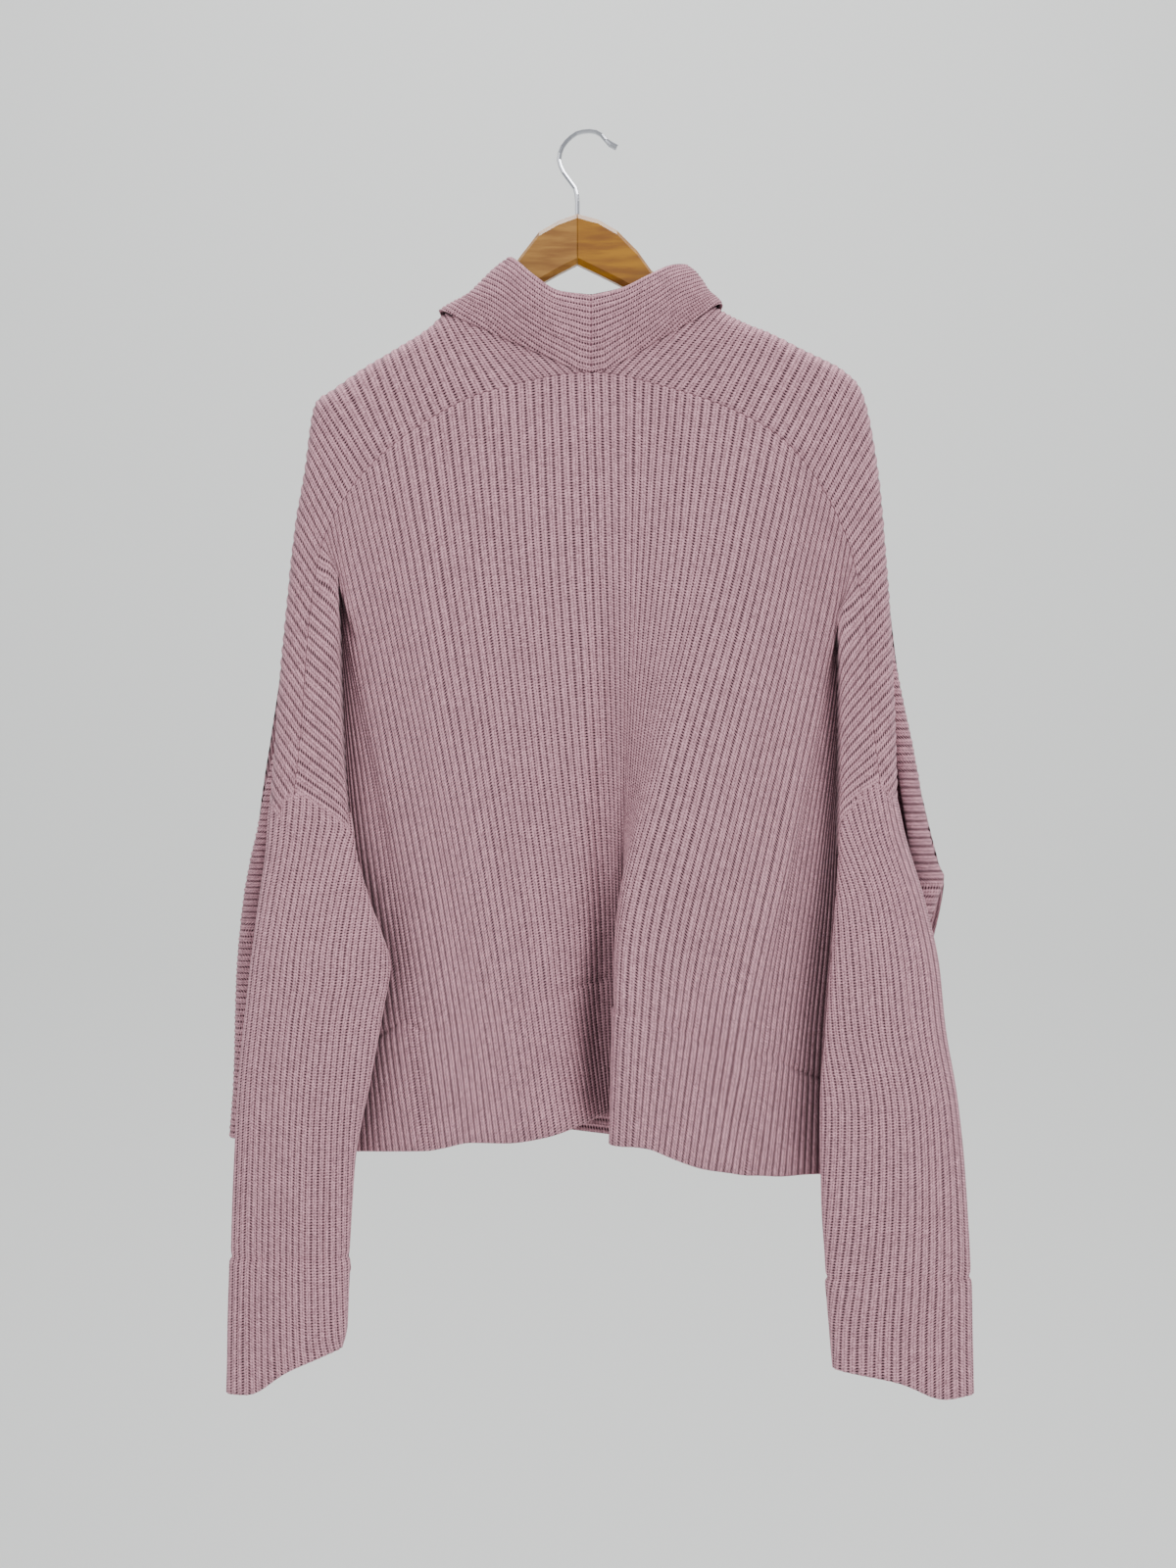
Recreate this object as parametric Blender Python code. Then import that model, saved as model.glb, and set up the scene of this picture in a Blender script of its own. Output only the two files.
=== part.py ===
"""A cropped rib-knit sweater with a crossover front, hanging on a wooden hanger.

The frame is in metres, +Z up. The sweater's back faces -Y and its front +Y, so +X is the
wearer's right. The origin is the inside of the steel hook's crown, where it hangs on a peg.

The ribs run the length of every panel, so a panel's mesh columns follow its ribs: a rib is a
raised column between two lower ones. The tables below are in millimetres.
"""

import math
from collections import namedtuple

import bpy
import numpy as np

MM = 0.001

# Driving sizes of the knit
WALL = 1.8            # one layer of cloth, in the furrow of a rib
DOUBLE = 1.2          # what the turned-up hem and cuffs add to it
RIB_RISE = 0.8        # height of a rib over its furrow
SEAM_GAP = 0.2        # from a seam's line to each piece's edge
LAYER_GAP = 6.0       # from the inner front's outside to the outer front's outside
INNER_STEP = 6        # the plain inside has one column for this many on the outside

# Ribs of each panel
BACK_RIBS = (-58, 52)  # counted from the nape to each side
FRONT_RIBS = 60
COLLAR_RIBS = 12
SLEEVE_RIBS = 44

Seam = namedtuple("Seam", "along x z y")
SEAM = [  # the curved seam that joins the back to both fronts, measured along from the nape
    Seam(-432, -215, -487, -25),
    Seam(-394, -211, -450, -24),
    Seam(-301, -204, -357, -23),
    Seam(-248, -195, -305, -22),
    Seam(-199, -173, -262, -19),
    Seam(-140, -130, -221, -17),
    Seam(-76, -74, -192, -15),
    Seam(0, 1, -178, -13),
    Seam(55, 55, -189, -15),
    Seam(116, 112, -210, -16),
    Seam(149, 140, -228, -17),
    Seam(203, 172, -271, -20),
    Seam(242, 187, -306, -22),
    Seam(301, 199, -364, -23),
    Seam(358, 203, -421, -24),
    Seam(415, 209, -478, -25),
]

Fold = namedtuple("Fold", "rib seam turn_y tuck_y waist_y hem_x hem_y hem_z lean edge_x edge_z", defaults=(None, None))
BACK_FOLDS = [  # lines down the back along a rib. lean says how early it reaches its place over the
    # hem; edge is where the dropped shoulder turns under
    Fold(-58, -432, -24, -6, -5, -244, -3, -745, 3, -173, -504),
    Fold(-54, -415, -24, -6, -5, -225, -5, -746, 3, -176, -485),
    Fold(-49, -380, -24, -6, -6, -199, -7, -746, 3, -179, -455),
    Fold(-45, -337, -24, -7, -7, -177, -12, -745, 3, -181, -421),
    Fold(-41, -290, -23, -9, -9, -158, -19, -744, 3, -183, -380),
    Fold(-38, -249, -21, -11, -12, -143, -24, -743, 3, -184, -341),
    Fold(-34.5, -228, -19, -14, -18, -126, -29, -740, 1.6),
    Fold(-30, -202, -18, -16, -24, -104, -32, -736, 2.1),
    Fold(-24, -165, -18, -19, -26, -67, -28, -737, 1.4),
    Fold(-18, -118, -18, -20, -25, -34, -20, -734, 1.1),
    Fold(-12, -76, -18, -20, -21, -13, -11, -724, 1),
    Fold(-6, -37, -17, -19, -16, -1, -3, -719, 1),
    Fold(0, 0, -16, -17, -11, 11, 3, -714, 1),
    Fold(4, 25, -17, -18, -14, 13, -10, -718, 1),
    Fold(8, 51, -17, -19, -18, 16, -25, -727, 1.1),
    Fold(12, 76, -18, -20, -24, 22, -37, -732, 1.2),
    Fold(14, 90, -18, -20, -26, 30, -42, -735, 1.25),
    Fold(17, 110, -19, -21, -28, 43, -43, -737, 1.3),
    Fold(20.5, 136, -19, -21, -26, 61, -35, -737, 1.4),
    Fold(23.5, 158, -19, -21, -24, 76, -28, -739, 1.5),
    Fold(26.5, 179, -18, -19, -23, 91, -26, -745, 1.6),
    Fold(32.5, 218, -18, -16, -22, 125, -28, -756, 1.7),
    Fold(36, 245, -19, -13, -17, 145, -24, -759, 1.3),
    Fold(39, 270, -21, -11, -11, 162, -16, -762, 3, 179, -362),
    Fold(42.5, 306, -23, -9, -8, 184, -10, -763, 3, 181, -397),
    Fold(46, 345, -24, -7, -6, 203, -7, -762, 3, 181, -432),
    Fold(49, 382, -24, -6, -5, 220, -4, -762, 3, 180, -464),
    Fold(52, 415, -24, -6, -5, 235, -3, -760, 3, 180, -496),
]
TUCK_DROP = 10                            # from the turned edge down to the cloth behind it
HEM_LINE = 0.82                           # the turned-up hem's stitching, as a share of the length
BACK_ROWS = [0, 0.07, 0.14, 0.2, 0.36, 0.6, HEM_LINE, 1]

Rib = namedtuple("Rib", "rib out_x out_z seam drop_x drop_z")
LEFT_SHOULDER = [  # where each rib of the left front passes over the shoulder, its place on the curved
    # seam, and where it starts down the chest
    Rib(0, -109, -134, -2, -103, -150),
    Rib(3, -117, -142, -47, -112, -158),
    Rib(6, -132, -153, -84, -128, -169),
    Rib(9, -146, -161, -115, -143, -177),
    Rib(13, -168, -174, -144, -166, -190),
    Rib(17, -189, -189, -172, -188, -206),
    Rib(20, -202, -199, -199, -203, -222),
    Rib(25, -208, -228, -222, -210, -256),
    Rib(32, -213, -270, -257, -216, -302),
    Rib(38, -217, -307, -294, -221, -341),
    Rib(46, -224, -363, -344, -228, -398),
    Rib(53, -229, -420, -397, -238, -455),
    Rib(60, -234, -490, -432, -244, -512),
]
RIGHT_SHOULDER = [
    Rib(0, 96, -132, 2, 91, -148),
    Rib(3, 103, -136, 50, 99, -153),
    Rib(6, 117, -142, 84, 114, -159),
    Rib(10, 137, -150, 110, 135, -167),
    Rib(14, 158, -161, 133, 157, -179),
    Rib(18, 180, -171, 158, 180, -190),
    Rib(21, 196, -187, 180, 198, -210),
    Rib(26, 205, -220, 212, 208, -248),
    Rib(32, 211, -258, 245, 215, -290),
    Rib(38, 214, -300, 279, 219, -335),
    Rib(46, 219, -363, 330, 229, -412),
    Rib(53, 221, -420, 376, 241, -478),
    Rib(60, 223, -484, 415, 260, -548),
]

Side = namedtuple("Side", "z out_x seam_x")
LEFT_SIDE = [  # the body's outermost line, and its side seam, from under the arm to the hem
    Side(-738, -267, -246),
    Side(-695, -264, -243.8),
    Side(-622, -262, -239.9),
    Side(-565, -257, -237),
    Side(-536, -252, -235.5),
    Side(-510, -248, -234),
]
RIGHT_SIDE = [
    Side(-757, 253, 237),
    Side(-695, 253, 236),
    Side(-622, 251, 234.8),
    Side(-560, 250, 233.8),
]
SIDE_Y, SIDE_SEAM_Y = 4, -3

TURN_REACH = 12                 # how far down each side the shoulder's rounded turn reaches
SHOULDER_Y, DROP_Y = 0, -8      # depth of the turn over the hanger, and beyond its end
HANGER_END = 20                 # the rib that lies over the hanger's end
ARRIVE = {1: 0, -1: 22}         # how far above its end a rib runs to the left side, and to the right
YOKE_ROWS = [0, 0.5]            # shares of the way from the seam to where the turn starts
TURN_ROWS = [12, 4, 0]          # distances from the top of the turn, on each side of it
FRONT_ROWS = [0, 0.2, 0.4, 0.6, 0.78, 0.9, 1]

Ring = namedtuple("Ring", "out_x out_z in_x in_z back_y out_front_y in_front_y peak")
LEFT_SLEEVE = [  # rings down the sleeve, from the armhole seam to the cuff's edge
    Ring(-233, -491.5, -173, -508.8, -27, 0, -14, 8),
    Ring(-235, -522, -171, -526, -30, -3, -15, 3),
    Ring(-240, -563, -160, -563, -37, -6, -20, 0),
    Ring(-245, -609, -145, -609, -45, -12, -25, 0),
    Ring(-248, -641, -150, -641, -47, -14, -27, 0),
    Ring(-253, -691, -159, -691, -48, -15, -25, 0),
    Ring(-256, -747, -170, -747, -46, -15, -22, 0),
    Ring(-259, -818, -175, -818, -42, -14, -18, 0),
    Ring(-261, -880, -178, -872, -40, -13, -15, 0),
    Ring(-262, -916, -181, -884, -39, -12, -14, 0),
]
RIGHT_SLEEVE = [
    Ring(221, -486, 181, -500.6, -27, 0, -14, 10.5),
    Ring(227, -514, 180, -520, -30, -3, -15, 3),
    Ring(241, -563, 177, -563, -37, -6, -20, 0),
    Ring(250, -606, 173, -606, -43, -12, -23, 0),
    Ring(255, -655, 169, -655, -46, -14, -26, 0),
    Ring(264, -712, 165, -712, -48, -15, -28, 0),
    Ring(270, -776, 166, -776, -46, -15, -22, 0),
    Ring(273, -833, 170, -833, -43, -14, -18, 0),
    Ring(274, -880, 173, -868, -40, -13, -15, 0),
    Ring(275, -916, 176, -899, -39, -12, -14, 0),
]
SLEEVE_ROWS = 8
PEAK_PLACE = 0.28                        # where the curved seam meets the sleeve's top
FLATNESS = 0.62                          # under 1 flattens a sleeve's section
CUFF_SAG = 7                             # how far the cuff's outer corner hangs below its line

Rim = namedtuple("Rim", "place x z y swell")
LEFT_RIM = [  # the collar's free edge. place is 0 at the nape, 1 over the shoulder, 2 at the chest
    Rim(0, 0, -121, -12, 4),
    Rim(0.2, -22, -119, -15, 6),
    Rim(0.4, -41, -108, -17, 7),
    Rim(0.65, -53, -97, -13, 5),
    Rim(0.88, -59, -92, -5, 2),
    Rim(1, -60, -92, 2, 1),
    Rim(1.08, -58, -96, 10, 2),
    Rim(1.2, -53, -110, 17, 4),
    Rim(1.5, -41, -188, 27, 6),
    Rim(1.8, -25, -258, 30, 5),
    Rim(2, -15, -298, 30, 3),
]
RIGHT_RIM = [
    Rim(0, 0, -121, -12, 4),
    Rim(0.2, 21, -117, -15, 6),
    Rim(0.4, 41, -108, -17, 8),
    Rim(0.65, 58, -100, -14, 7),
    Rim(0.88, 69, -98, -5, 4),
    Rim(1, 70, -98, 2, 3),
    Rim(1.08, 67, -102, 11, 4),
    Rim(1.2, 61, -116, 19, 5),
    Rim(1.5, 46, -190, 31, 6),
    Rim(1.8, 27, -258, 36, 5),
    Rim(2, 15, -298, 37, 3),
]
COLLAR_WALL = 2.0
COLLAR_LIFT = (2.6, 4.9)        # of its lower edge off the front: at both ends, and over the shoulder
COLLAR_OVERLAP = 0.3            # ribs of the front that this edge hides
COLLAR_ROWS = [0, 0.2, 0.4, 0.6, 0.8, 0.92, 1, 1.05, 1.11, 1.18, 1.3, 1.5, 1.75, 2]
COLLAR_END = 25                 # how far from the centre each half stops on the chest
CENTRE_GAP = 0.15

Arm = namedtuple("Arm", "x top bottom half")
LEFT_ARM = [  # sections of the hanger's wood from its middle joint to its tip
    Arm(-10.4, -60, -97, 7),
    Arm(-24, -65, -104, 7),
    Arm(-38, -73, -112, 7),
    Arm(-52, -91, -120, 6.8),
    Arm(-60, -103, -125, 6.5),
    Arm(-75, -116, -136, 6),
    Arm(-109, -140, -158, 6),
    Arm(-132, -158, -174, 6),
    Arm(-146, -166, -183, 6),
    Arm(-168, -178, -196, 6),
    Arm(-187, -193, -206, 5.5),
    Arm(-193, -199, -207, 4),
]
RIGHT_ARM = [
    Arm(-9.6, -60, -97, 7),
    Arm(5, -64, -104, 7),
    Arm(19, -72, -111, 7),
    Arm(34, -87, -119, 7),
    Arm(44, -101, -124, 6.8),
    Arm(65, -117, -134, 6),
    Arm(96, -136.3, -153, 6),
    Arm(117, -146.3, -165, 6),
    Arm(137, -154.2, -176, 6),
    Arm(158, -165.2, -187, 6),
    Arm(178, -175.3, -196, 5.5),
    Arm(189, -189, -200, 4),
]
WOOD_ROUND = 4

HOOK_WIRE = 3.3
HOOK_ROUTE = [  # centre line of the steel hook in X and Z, from the wood to its tip
    (-10, -59.6), (-10, -50), (-11, -42), (-15.5, -35), (-20.5, -28), (-23.5, -19), (-21.5, -11),
    (-15.5, -3.5), (-8, 0.9), (0, HOOK_WIRE / 2), (6, 0), (11, -5), (15, -8.5), (19, -10.5),
]
HOOK_POINTS = 22
HOOK_TIP = 1.45                 # the rounded tip's size against the wire's

INNER_SHIFT = 1.8     # how far a front's inner edge stands off the curved seam
STRAIGHT_BACK = np.array([0.0, -1.0, 0.0])   # how the pieces face along the curved seam

FINISHES = {  # colour, roughness, metallic
    "knit": ((0.62, 0.42, 0.47, 1), 0.9, 0),
    "wood": ((0.48, 0.25, 0.08, 1), 0.4, 0),
    "steel": ((0.6, 0.6, 0.63, 1), 0.2, 1),
}


def smooth(knots, values, at):
    """Values at these places on a monotone cubic through the table, which never overshoots a fold."""
    knots = np.asarray(knots, float)
    values = np.asarray(values, float)
    at = np.clip(np.asarray(at, float), knots[0], knots[-1])
    column = (-1,) + (1,) * (values.ndim - 1)
    step = np.diff(knots).reshape(column)
    slope = np.diff(values, axis=0) / step
    before, after = slope[:-1], slope[1:]
    near, far = 2 * step[1:] + step[:-1], step[1:] + 2 * step[:-1]
    same_way = before * after > 0
    safe_before, safe_after = np.where(same_way, before, 1), np.where(same_way, after, 1)
    tangent = np.zeros_like(values)
    tangent[1:-1] = np.where(same_way, (near + far) / (near / safe_before + far / safe_after), 0)
    tangent[0], tangent[-1] = slope[0], slope[-1]
    i = np.clip(np.searchsorted(knots, at, side="right") - 1, 0, len(knots) - 2)
    width = step[i]
    t = (at - knots[i]).reshape(column) / width
    return (
        (1 + 2 * t) * (1 - t) ** 2 * values[i]
        + t * (1 - t) ** 2 * width * tangent[i]
        + t * t * (3 - 2 * t) * values[i + 1]
        + t * t * (t - 1) * width * tangent[i + 1]
    )


def read(table, key, at, *names):
    """These columns of a table, at these values of its key column."""
    rows = sorted(table, key=lambda row: getattr(row, key))
    knots = [getattr(row, key) for row in rows]
    values = [[getattr(row, name) for name in names] for row in rows]
    return smooth(knots, values, at)


def eased(value):
    """0 below 0, 1 above 1, and a smooth step between."""
    t = np.clip(value, 0, 1)
    return t * t * (3 - 2 * t)


def unit(vectors):
    return vectors / np.maximum(np.linalg.norm(vectors, axis=-1, keepdims=True), 1e-9)


def seam_points(along, shift=0):
    """Points on the seam of the back and the fronts, or this far from it, away from the back."""
    x, z, y = read(SEAM, "along", along, "x", "z", "y").T
    ahead = read(SEAM, "along", np.asarray(along) + 2, "x", "z")
    behind = read(SEAM, "along", np.asarray(along) - 2, "x", "z")
    run = unit(ahead - behind)
    return np.stack([x - shift * run[:, 1], y, z + shift * run[:, 0]], 1)


def normals(grid, ring=False):
    """Unit normals of a grid of points. A ring's columns join up."""
    if ring:
        wide = np.concatenate([grid[:, -1:], grid, grid[:, :1]], 1)
        across = (wide[:, 2:] - wide[:, :-2])
    else:
        across = np.gradient(grid, axis=1)
    return unit(np.cross(across, np.gradient(grid, axis=0)))


# ---- Surfaces of the panels, as points for each row and rib ----

def back_surface(ribs, rows):
    """Outside of the back. Its outer ribs cross the dropped shoulder, turn under, and hang behind."""
    lines = []
    levels = np.array([0, 0.14, 0.2, 0.5, HEM_LINE, 1])
    for fold in BACK_FOLDS:
        start = seam_points([fold.seam], -SEAM_GAP)[0]
        lean = (1 - levels) ** fold.lean
        x = fold.hem_x + (start[0] - fold.hem_x) * lean
        y = np.array([start[1], fold.turn_y, fold.tuck_y, fold.waist_y,
                      0.3 * fold.waist_y + 0.7 * fold.hem_y, fold.hem_y])
        z = start[2] + (fold.hem_z - start[2]) * levels
        if fold.edge_x is not None:
            x[1:3] = fold.edge_x
            z[1:3] = fold.edge_z, fold.edge_z - TUCK_DROP
            z[3:5] = z[2] + (fold.hem_z - z[2]) * (levels[3:5] - levels[2]) / (1 - levels[2])
        if fold.rib in BACK_RIBS:
            side, inward = (RIGHT_SIDE, -1) if fold.rib > 0 else (LEFT_SIDE, 1)
            x[3:] = read(side, "z", z[3:], "seam_x")[:, 0] + inward * 5 * SEAM_GAP
        lines.append(smooth(levels, np.stack([x, y, z], 1), rows))
    grid = smooth([fold.rib for fold in BACK_FOLDS], lines, ribs).transpose(1, 0, 2)
    grid[0] = seam_points(read(BACK_FOLDS, "rib", ribs, "seam")[:, 0], -SEAM_GAP)
    return grid


def front_depth(x, z):
    """Depth of the inner front's outside: flat over the chest, in soft waves at the hem, less at the sides."""
    low = eased((-z - 260) / 450)
    chest = 12 + 6 * eased((-z - 200) / 500) + 3 * np.sin(x / 34 + 0.8) * low
    loose = eased((-z - 200) / 150)
    return SIDE_Y + (chest - SIDE_Y) * (1 - eased((abs(x) - 180 + 90 * loose) / (110 + 35 * loose)))


def front_surface(shoulder, side, over, ribs, front_rows=FRONT_ROWS, turn_rows=TURN_ROWS):
    """Outside of a front: from the curved seam over the shoulder, then down across the chest to the other
    side, where it turns back to the side seam. over is how far it lies outside the other front."""
    out_x, out_z, along, drop_x, drop_z = read(
        shoulder, "rib", ribs, "out_x", "out_z", "seam", "drop_x", "drop_z").T
    seam = seam_points(along, SEAM_GAP)
    lower = eased((ribs - HANGER_END) / 12)
    top = np.stack([out_x, SHOULDER_Y + (DROP_Y - SHOULDER_Y) * lower, out_z], 1)
    drop = np.stack([drop_x, 0 * drop_x, drop_z], 1)
    share = ribs / FRONT_RIBS
    ends = sorted(row.z for row in side)
    end_z = ends[-1] + (ends[0] - ends[-1]) * share
    end_x, hidden_x = read(side, "z", end_z, "out_x", "seam_x").T
    end = np.stack([end_x, 0 * end_x, end_z], 1)
    rise = ARRIVE[1 if over else -1] * share ** 2
    fall = end_z + rise - drop_z
    below = np.stack([(0.7 + 0.2 * share) * drop_x, 0 * out_x, drop_z + (0.25 + 0.7 * share) * fall], 1)
    beside = np.stack([drop_x + (0.38 - 0.13 * share) * (end_x - drop_x), 0 * out_x,
                       drop_z + (0.75 + 0.25 * share) * fall], 1)

    reach = np.linalg.norm((seam - top)[:, [0, 2]], axis=1)
    rounded = [math.sqrt(max(0.0, 1 - (1 - d / TURN_REACH) ** 2)) for d in turn_rows]
    limit = np.minimum(turn_rows[0], 0.6 * reach)
    rows = []
    for share_down in YOKE_ROWS:
        clear = (1 - limit / reach)[:, None]
        rows.append(seam + share_down * clear * (top - seam) * np.array([1, 0, 1]))
    for distance, round_share in zip(turn_rows, rounded):
        part = (distance / turn_rows[0] * limit / reach)[:, None]
        point = top + part * (seam - top) * np.array([1, 0, 1])
        point[:, 1] = top[:, 1] + (seam[:, 1] + 0.5 - top[:, 1]) * round_share
        rows.append(point)
    start = unit((drop - top) * np.array([1, 0, 1]))
    for distance, round_share in list(zip(turn_rows, rounded))[-2::-1]:
        point = top + distance * start
        full = front_depth(point[:, 0], point[:, 2]) + over
        point[:, 1] = top[:, 1] + (full - top[:, 1]) * round_share
        rows.append(point)
    for t in front_rows:
        point = (1 - t) ** 3 * drop + 3 * (1 - t) ** 2 * t * below + 3 * (1 - t) * t * t * beside + t ** 3 * end
        point[:, 1] = front_depth(point[:, 0], point[:, 2]) + over
        rows.append(point)
    last = rows[-1]
    hidden = np.stack([hidden_x, np.full_like(hidden_x, SIDE_SEAM_Y), end_z], 1)
    for turned, deep in ((0.15, 0.85), (1.0, 1.0)):
        point = last + turned * (hidden - last)
        point[:, 1] = last[:, 1] + deep * (SIDE_SEAM_Y - last[:, 1])
        rows.append(point)
    return np.array(rows)


def sleeve_surface(rings, rows, columns):
    """Outside of a sleeve as rings that start at its outer edge and pass its back first."""
    places = np.linspace(0, 1, len(rings))
    table = smooth(places, [list(ring) for ring in rings], rows)
    fine = np.linspace(0, 2 * math.pi, 721)
    shape = np.stack([-np.cos(fine), np.sign(np.sin(fine)) * abs(np.sin(fine)) ** FLATNESS * 0.35], 1)
    travelled = np.concatenate([[0], np.cumsum(np.linalg.norm(np.diff(shape, axis=0), axis=1))])
    angle = np.interp(columns * travelled[-1], travelled, fine)
    inward = (1 - np.cos(angle)) / 2
    bulge = abs(np.sin(angle)) ** FLATNESS
    at_back = np.sin(angle) > 0
    grid = []
    for place, row in zip(rows, table):
        ring = Ring(*row)
        front = ring.out_front_y + (ring.in_front_y - ring.out_front_y) * inward
        middle = (ring.back_y + front) / 2
        y = middle + np.where(at_back, ring.back_y - middle, front - middle) * bulge
        x = ring.out_x + (ring.in_x - ring.out_x) * inward
        z = ring.out_z + (ring.in_z - ring.out_z) * inward
        tent = np.minimum(inward / PEAK_PLACE, (1 - inward) / (1 - PEAK_PLACE))
        z = z + ring.peak * tent * at_back
        z = z - CUFF_SAG * eased((place - 0.9) / 0.1) * np.exp(-(((inward - 0.25) / 0.2) ** 2))
        grid.append(np.stack([x, y, z], 1))
    return np.array(grid)


def neck_line(shoulder, side, over, places):
    """Where the collar's lower edge lies on the front: 0 at the nape, 1 over the shoulder, and 2 at the
    middle of the chest. The collar's lift pushes it out of the cloth."""
    fine_rows = list(np.linspace(0, 0.7, 71))
    turn_rows = [12, 8, 5, 2.5, 1, 0]
    ribs = np.array([0.0, COLLAR_OVERLAP, 2 * COLLAR_OVERLAP])
    grid = front_surface(shoulder, side, over, ribs, fine_rows, turn_rows)[:84]
    top = 2 + len(turn_rows) - 1
    low, high = COLLAR_LIFT
    steps = np.interp(np.arange(len(grid)), [0, top, 60], [0, 1, 2])
    lift = low + (high - low) * np.sin(math.pi / 2 * steps)
    line = grid[:, 1] + facing(normals(grid), 0)[:, 1] * lift[:, None]
    beyond = line[:, 0] * math.copysign(1, shoulder[0].out_x) < COLLAR_END
    beyond[:top] = False
    line = line[: np.argmax(beyond) + 1]
    travelled = np.concatenate([[0], np.cumsum(np.linalg.norm(np.diff(line, axis=0), axis=1))])
    at = np.interp(places, [0, 1, 2], [0, travelled[top], travelled[-1]])
    return np.stack([np.interp(at, travelled, line[:, k]) for k in range(3)], 1)


def collar_surface(shoulder, side, over, rims, rows, columns):
    """Outside of half the collar: from its rolled lower edge to its free edge, with a swell between."""
    low = neck_line(shoulder, side, over, rows)
    x, z, y, swell = read(rims, "place", rows, "x", "z", "y", "swell").T
    rim = np.stack([x, y, z], 1)
    low[0, 0] = rim[0, 0] = math.copysign(CENTRE_GAP, shoulder[0].out_x)
    along = np.gradient(low + rim, axis=0)
    out = unit(np.cross(along, rim - low))
    if out[0, 1] > 0:
        out = -out
    out[0] = unit(out[0] * np.array([0, 1, 1]))
    up = columns[None, :, None]
    flat = low[:, None] * (1 - up) + rim[:, None] * up
    return flat + (out * swell[:, None])[:, None] * (4 * up * (1 - up)) ** 0.8


# ---- Walls ----

def facing(directions, row):
    """Normals turned so that those in this row face the back on the whole."""
    return -directions if directions[row, :, 1].mean() > 0 else directions


def strip(a, b):
    """Triangles between two lines of points, each a list of (index, place)."""
    faces = []
    i = j = 0
    while i < len(a) - 1 or j < len(b) - 1:
        next_a = a[i + 1][1] if i < len(a) - 1 else math.inf
        next_b = b[j + 1][1] if j < len(b) - 1 else math.inf
        if next_a <= next_b:
            faces.append((a[i][0], b[j][0], a[i + 1][0]))
            i += 1
        else:
            faces.append((a[i][0], b[j][0], b[j + 1][0]))
            j += 1
    return faces


def wall(name, outside, inside, finish, ring=False):
    """A closed solid between two sheets. Each sheet is a list of rows, and a row is (points, places)."""
    points, rows = [], {}
    for kind, sheet in (("out", outside), ("in", inside)):
        rows[kind] = []
        for row_points, places in sheet:
            first = len(points)
            points += [tuple(point) for point in row_points]
            line = [(first + k, place) for k, place in enumerate(places)]
            if ring:
                line.append((first, places[0] + 1))
            rows[kind].append(line)
    out, inn = rows["out"], rows["in"]
    faces = strip(inn[0], out[0]) + strip(out[-1], inn[-1])
    for upper, lower in zip(out, out[1:]):
        faces += strip(upper, lower)
    for upper, lower in zip(inn, inn[1:]):
        faces += strip(lower, upper)
    if not ring:
        ends = {k: ([(row[k][0], i) for i, row in enumerate(out)], [(row[k][0], i) for i, row in enumerate(inn)])
                for k in (0, -1)}
        faces += strip(ends[0][0], ends[0][1]) + strip(ends[-1][1], ends[-1][0])
    return solid(name, points, faces, finish)


def solid(name, points, faces, finish):
    """A named object from a closed mesh in millimetres, with its faces turned out."""
    corners = np.array(points, float)[np.array([face[:3] for face in faces])]
    if np.linalg.det(corners).sum() < 0:
        faces = [tuple(reversed(face)) for face in faces]
    mesh = bpy.data.meshes.new(name)
    mesh.from_pydata([(x * MM, y * MM, z * MM) for x, y, z in points], [], faces)
    mesh.update()
    mesh.shade_smooth()
    mesh.set_sharp_from_angle(angle=math.radians(50))
    made = bpy.data.objects.new(name, mesh)
    return dress(made, finish)


def dress(made, finish):
    """Puts the object in the scene with a material of its own."""
    colour, roughness, metallic = FINISHES[finish]
    material = bpy.data.materials.new(f"{made.name}_{finish}")
    material.use_nodes = True
    shader = material.node_tree.nodes["Principled BSDF"]
    shader.inputs["Base Color"].default_value = colour
    shader.inputs["Roughness"].default_value = roughness
    shader.inputs["Metallic"].default_value = metallic
    made.data.materials.append(material)
    bpy.context.scene.collection.objects.link(made)
    return made


def rib_places(first, last):
    """Two columns for each rib: its furrow and its crest."""
    return np.arange(first, last + 0.25, 0.5)


def ribbed(grid, out, places, rise=RIB_RISE):
    """A sheet's points with every second column raised."""
    crest = (np.arange(len(places)) % 2)[None, :, None]
    return grid + out * rise * crest


def thin(sheet, every, ring=False):
    """One column in several, and the last one of an open sheet."""
    keep = list(range(0, sheet.shape[1], every))
    if not ring and keep[-1] != sheet.shape[1] - 1:
        keep.append(sheet.shape[1] - 1)
    return keep


def thickness(count, doubled, plain=WALL):
    """The wall's thickness in each row. doubled holds the rows of a turned-up edge."""
    return np.array([plain + (DOUBLE if i in doubled else 0) for i in range(count)])[:, None, None]


def as_rows(grid, places):
    return [(row, places) for row in grid]


def panel(name, grid, out, places, inner, plain_after=None, ring=False):
    """A ribbed wall over a plain inside. From plain_after on, the outside is plain as well."""
    keep = thin(grid, INNER_STEP, ring)
    outside = as_rows(ribbed(grid, out, places), places)
    if plain_after is not None:
        outside[plain_after:] = as_rows(grid[plain_after:, keep], places[keep])
    inside = as_rows(inner[:, keep], places[keep])
    return wall(name, outside, inside, "knit", ring)


# ---- The pieces ----

def make_back():
    places = rib_places(*BACK_RIBS)
    grid = back_surface(places, BACK_ROWS)
    out = facing(normals(grid), -1)
    out[0] = STRAIGHT_BACK
    hem = {i for i, row in enumerate(BACK_ROWS) if row > HEM_LINE}
    panel("back", grid, out, places, grid - out * thickness(len(grid), hem))


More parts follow.
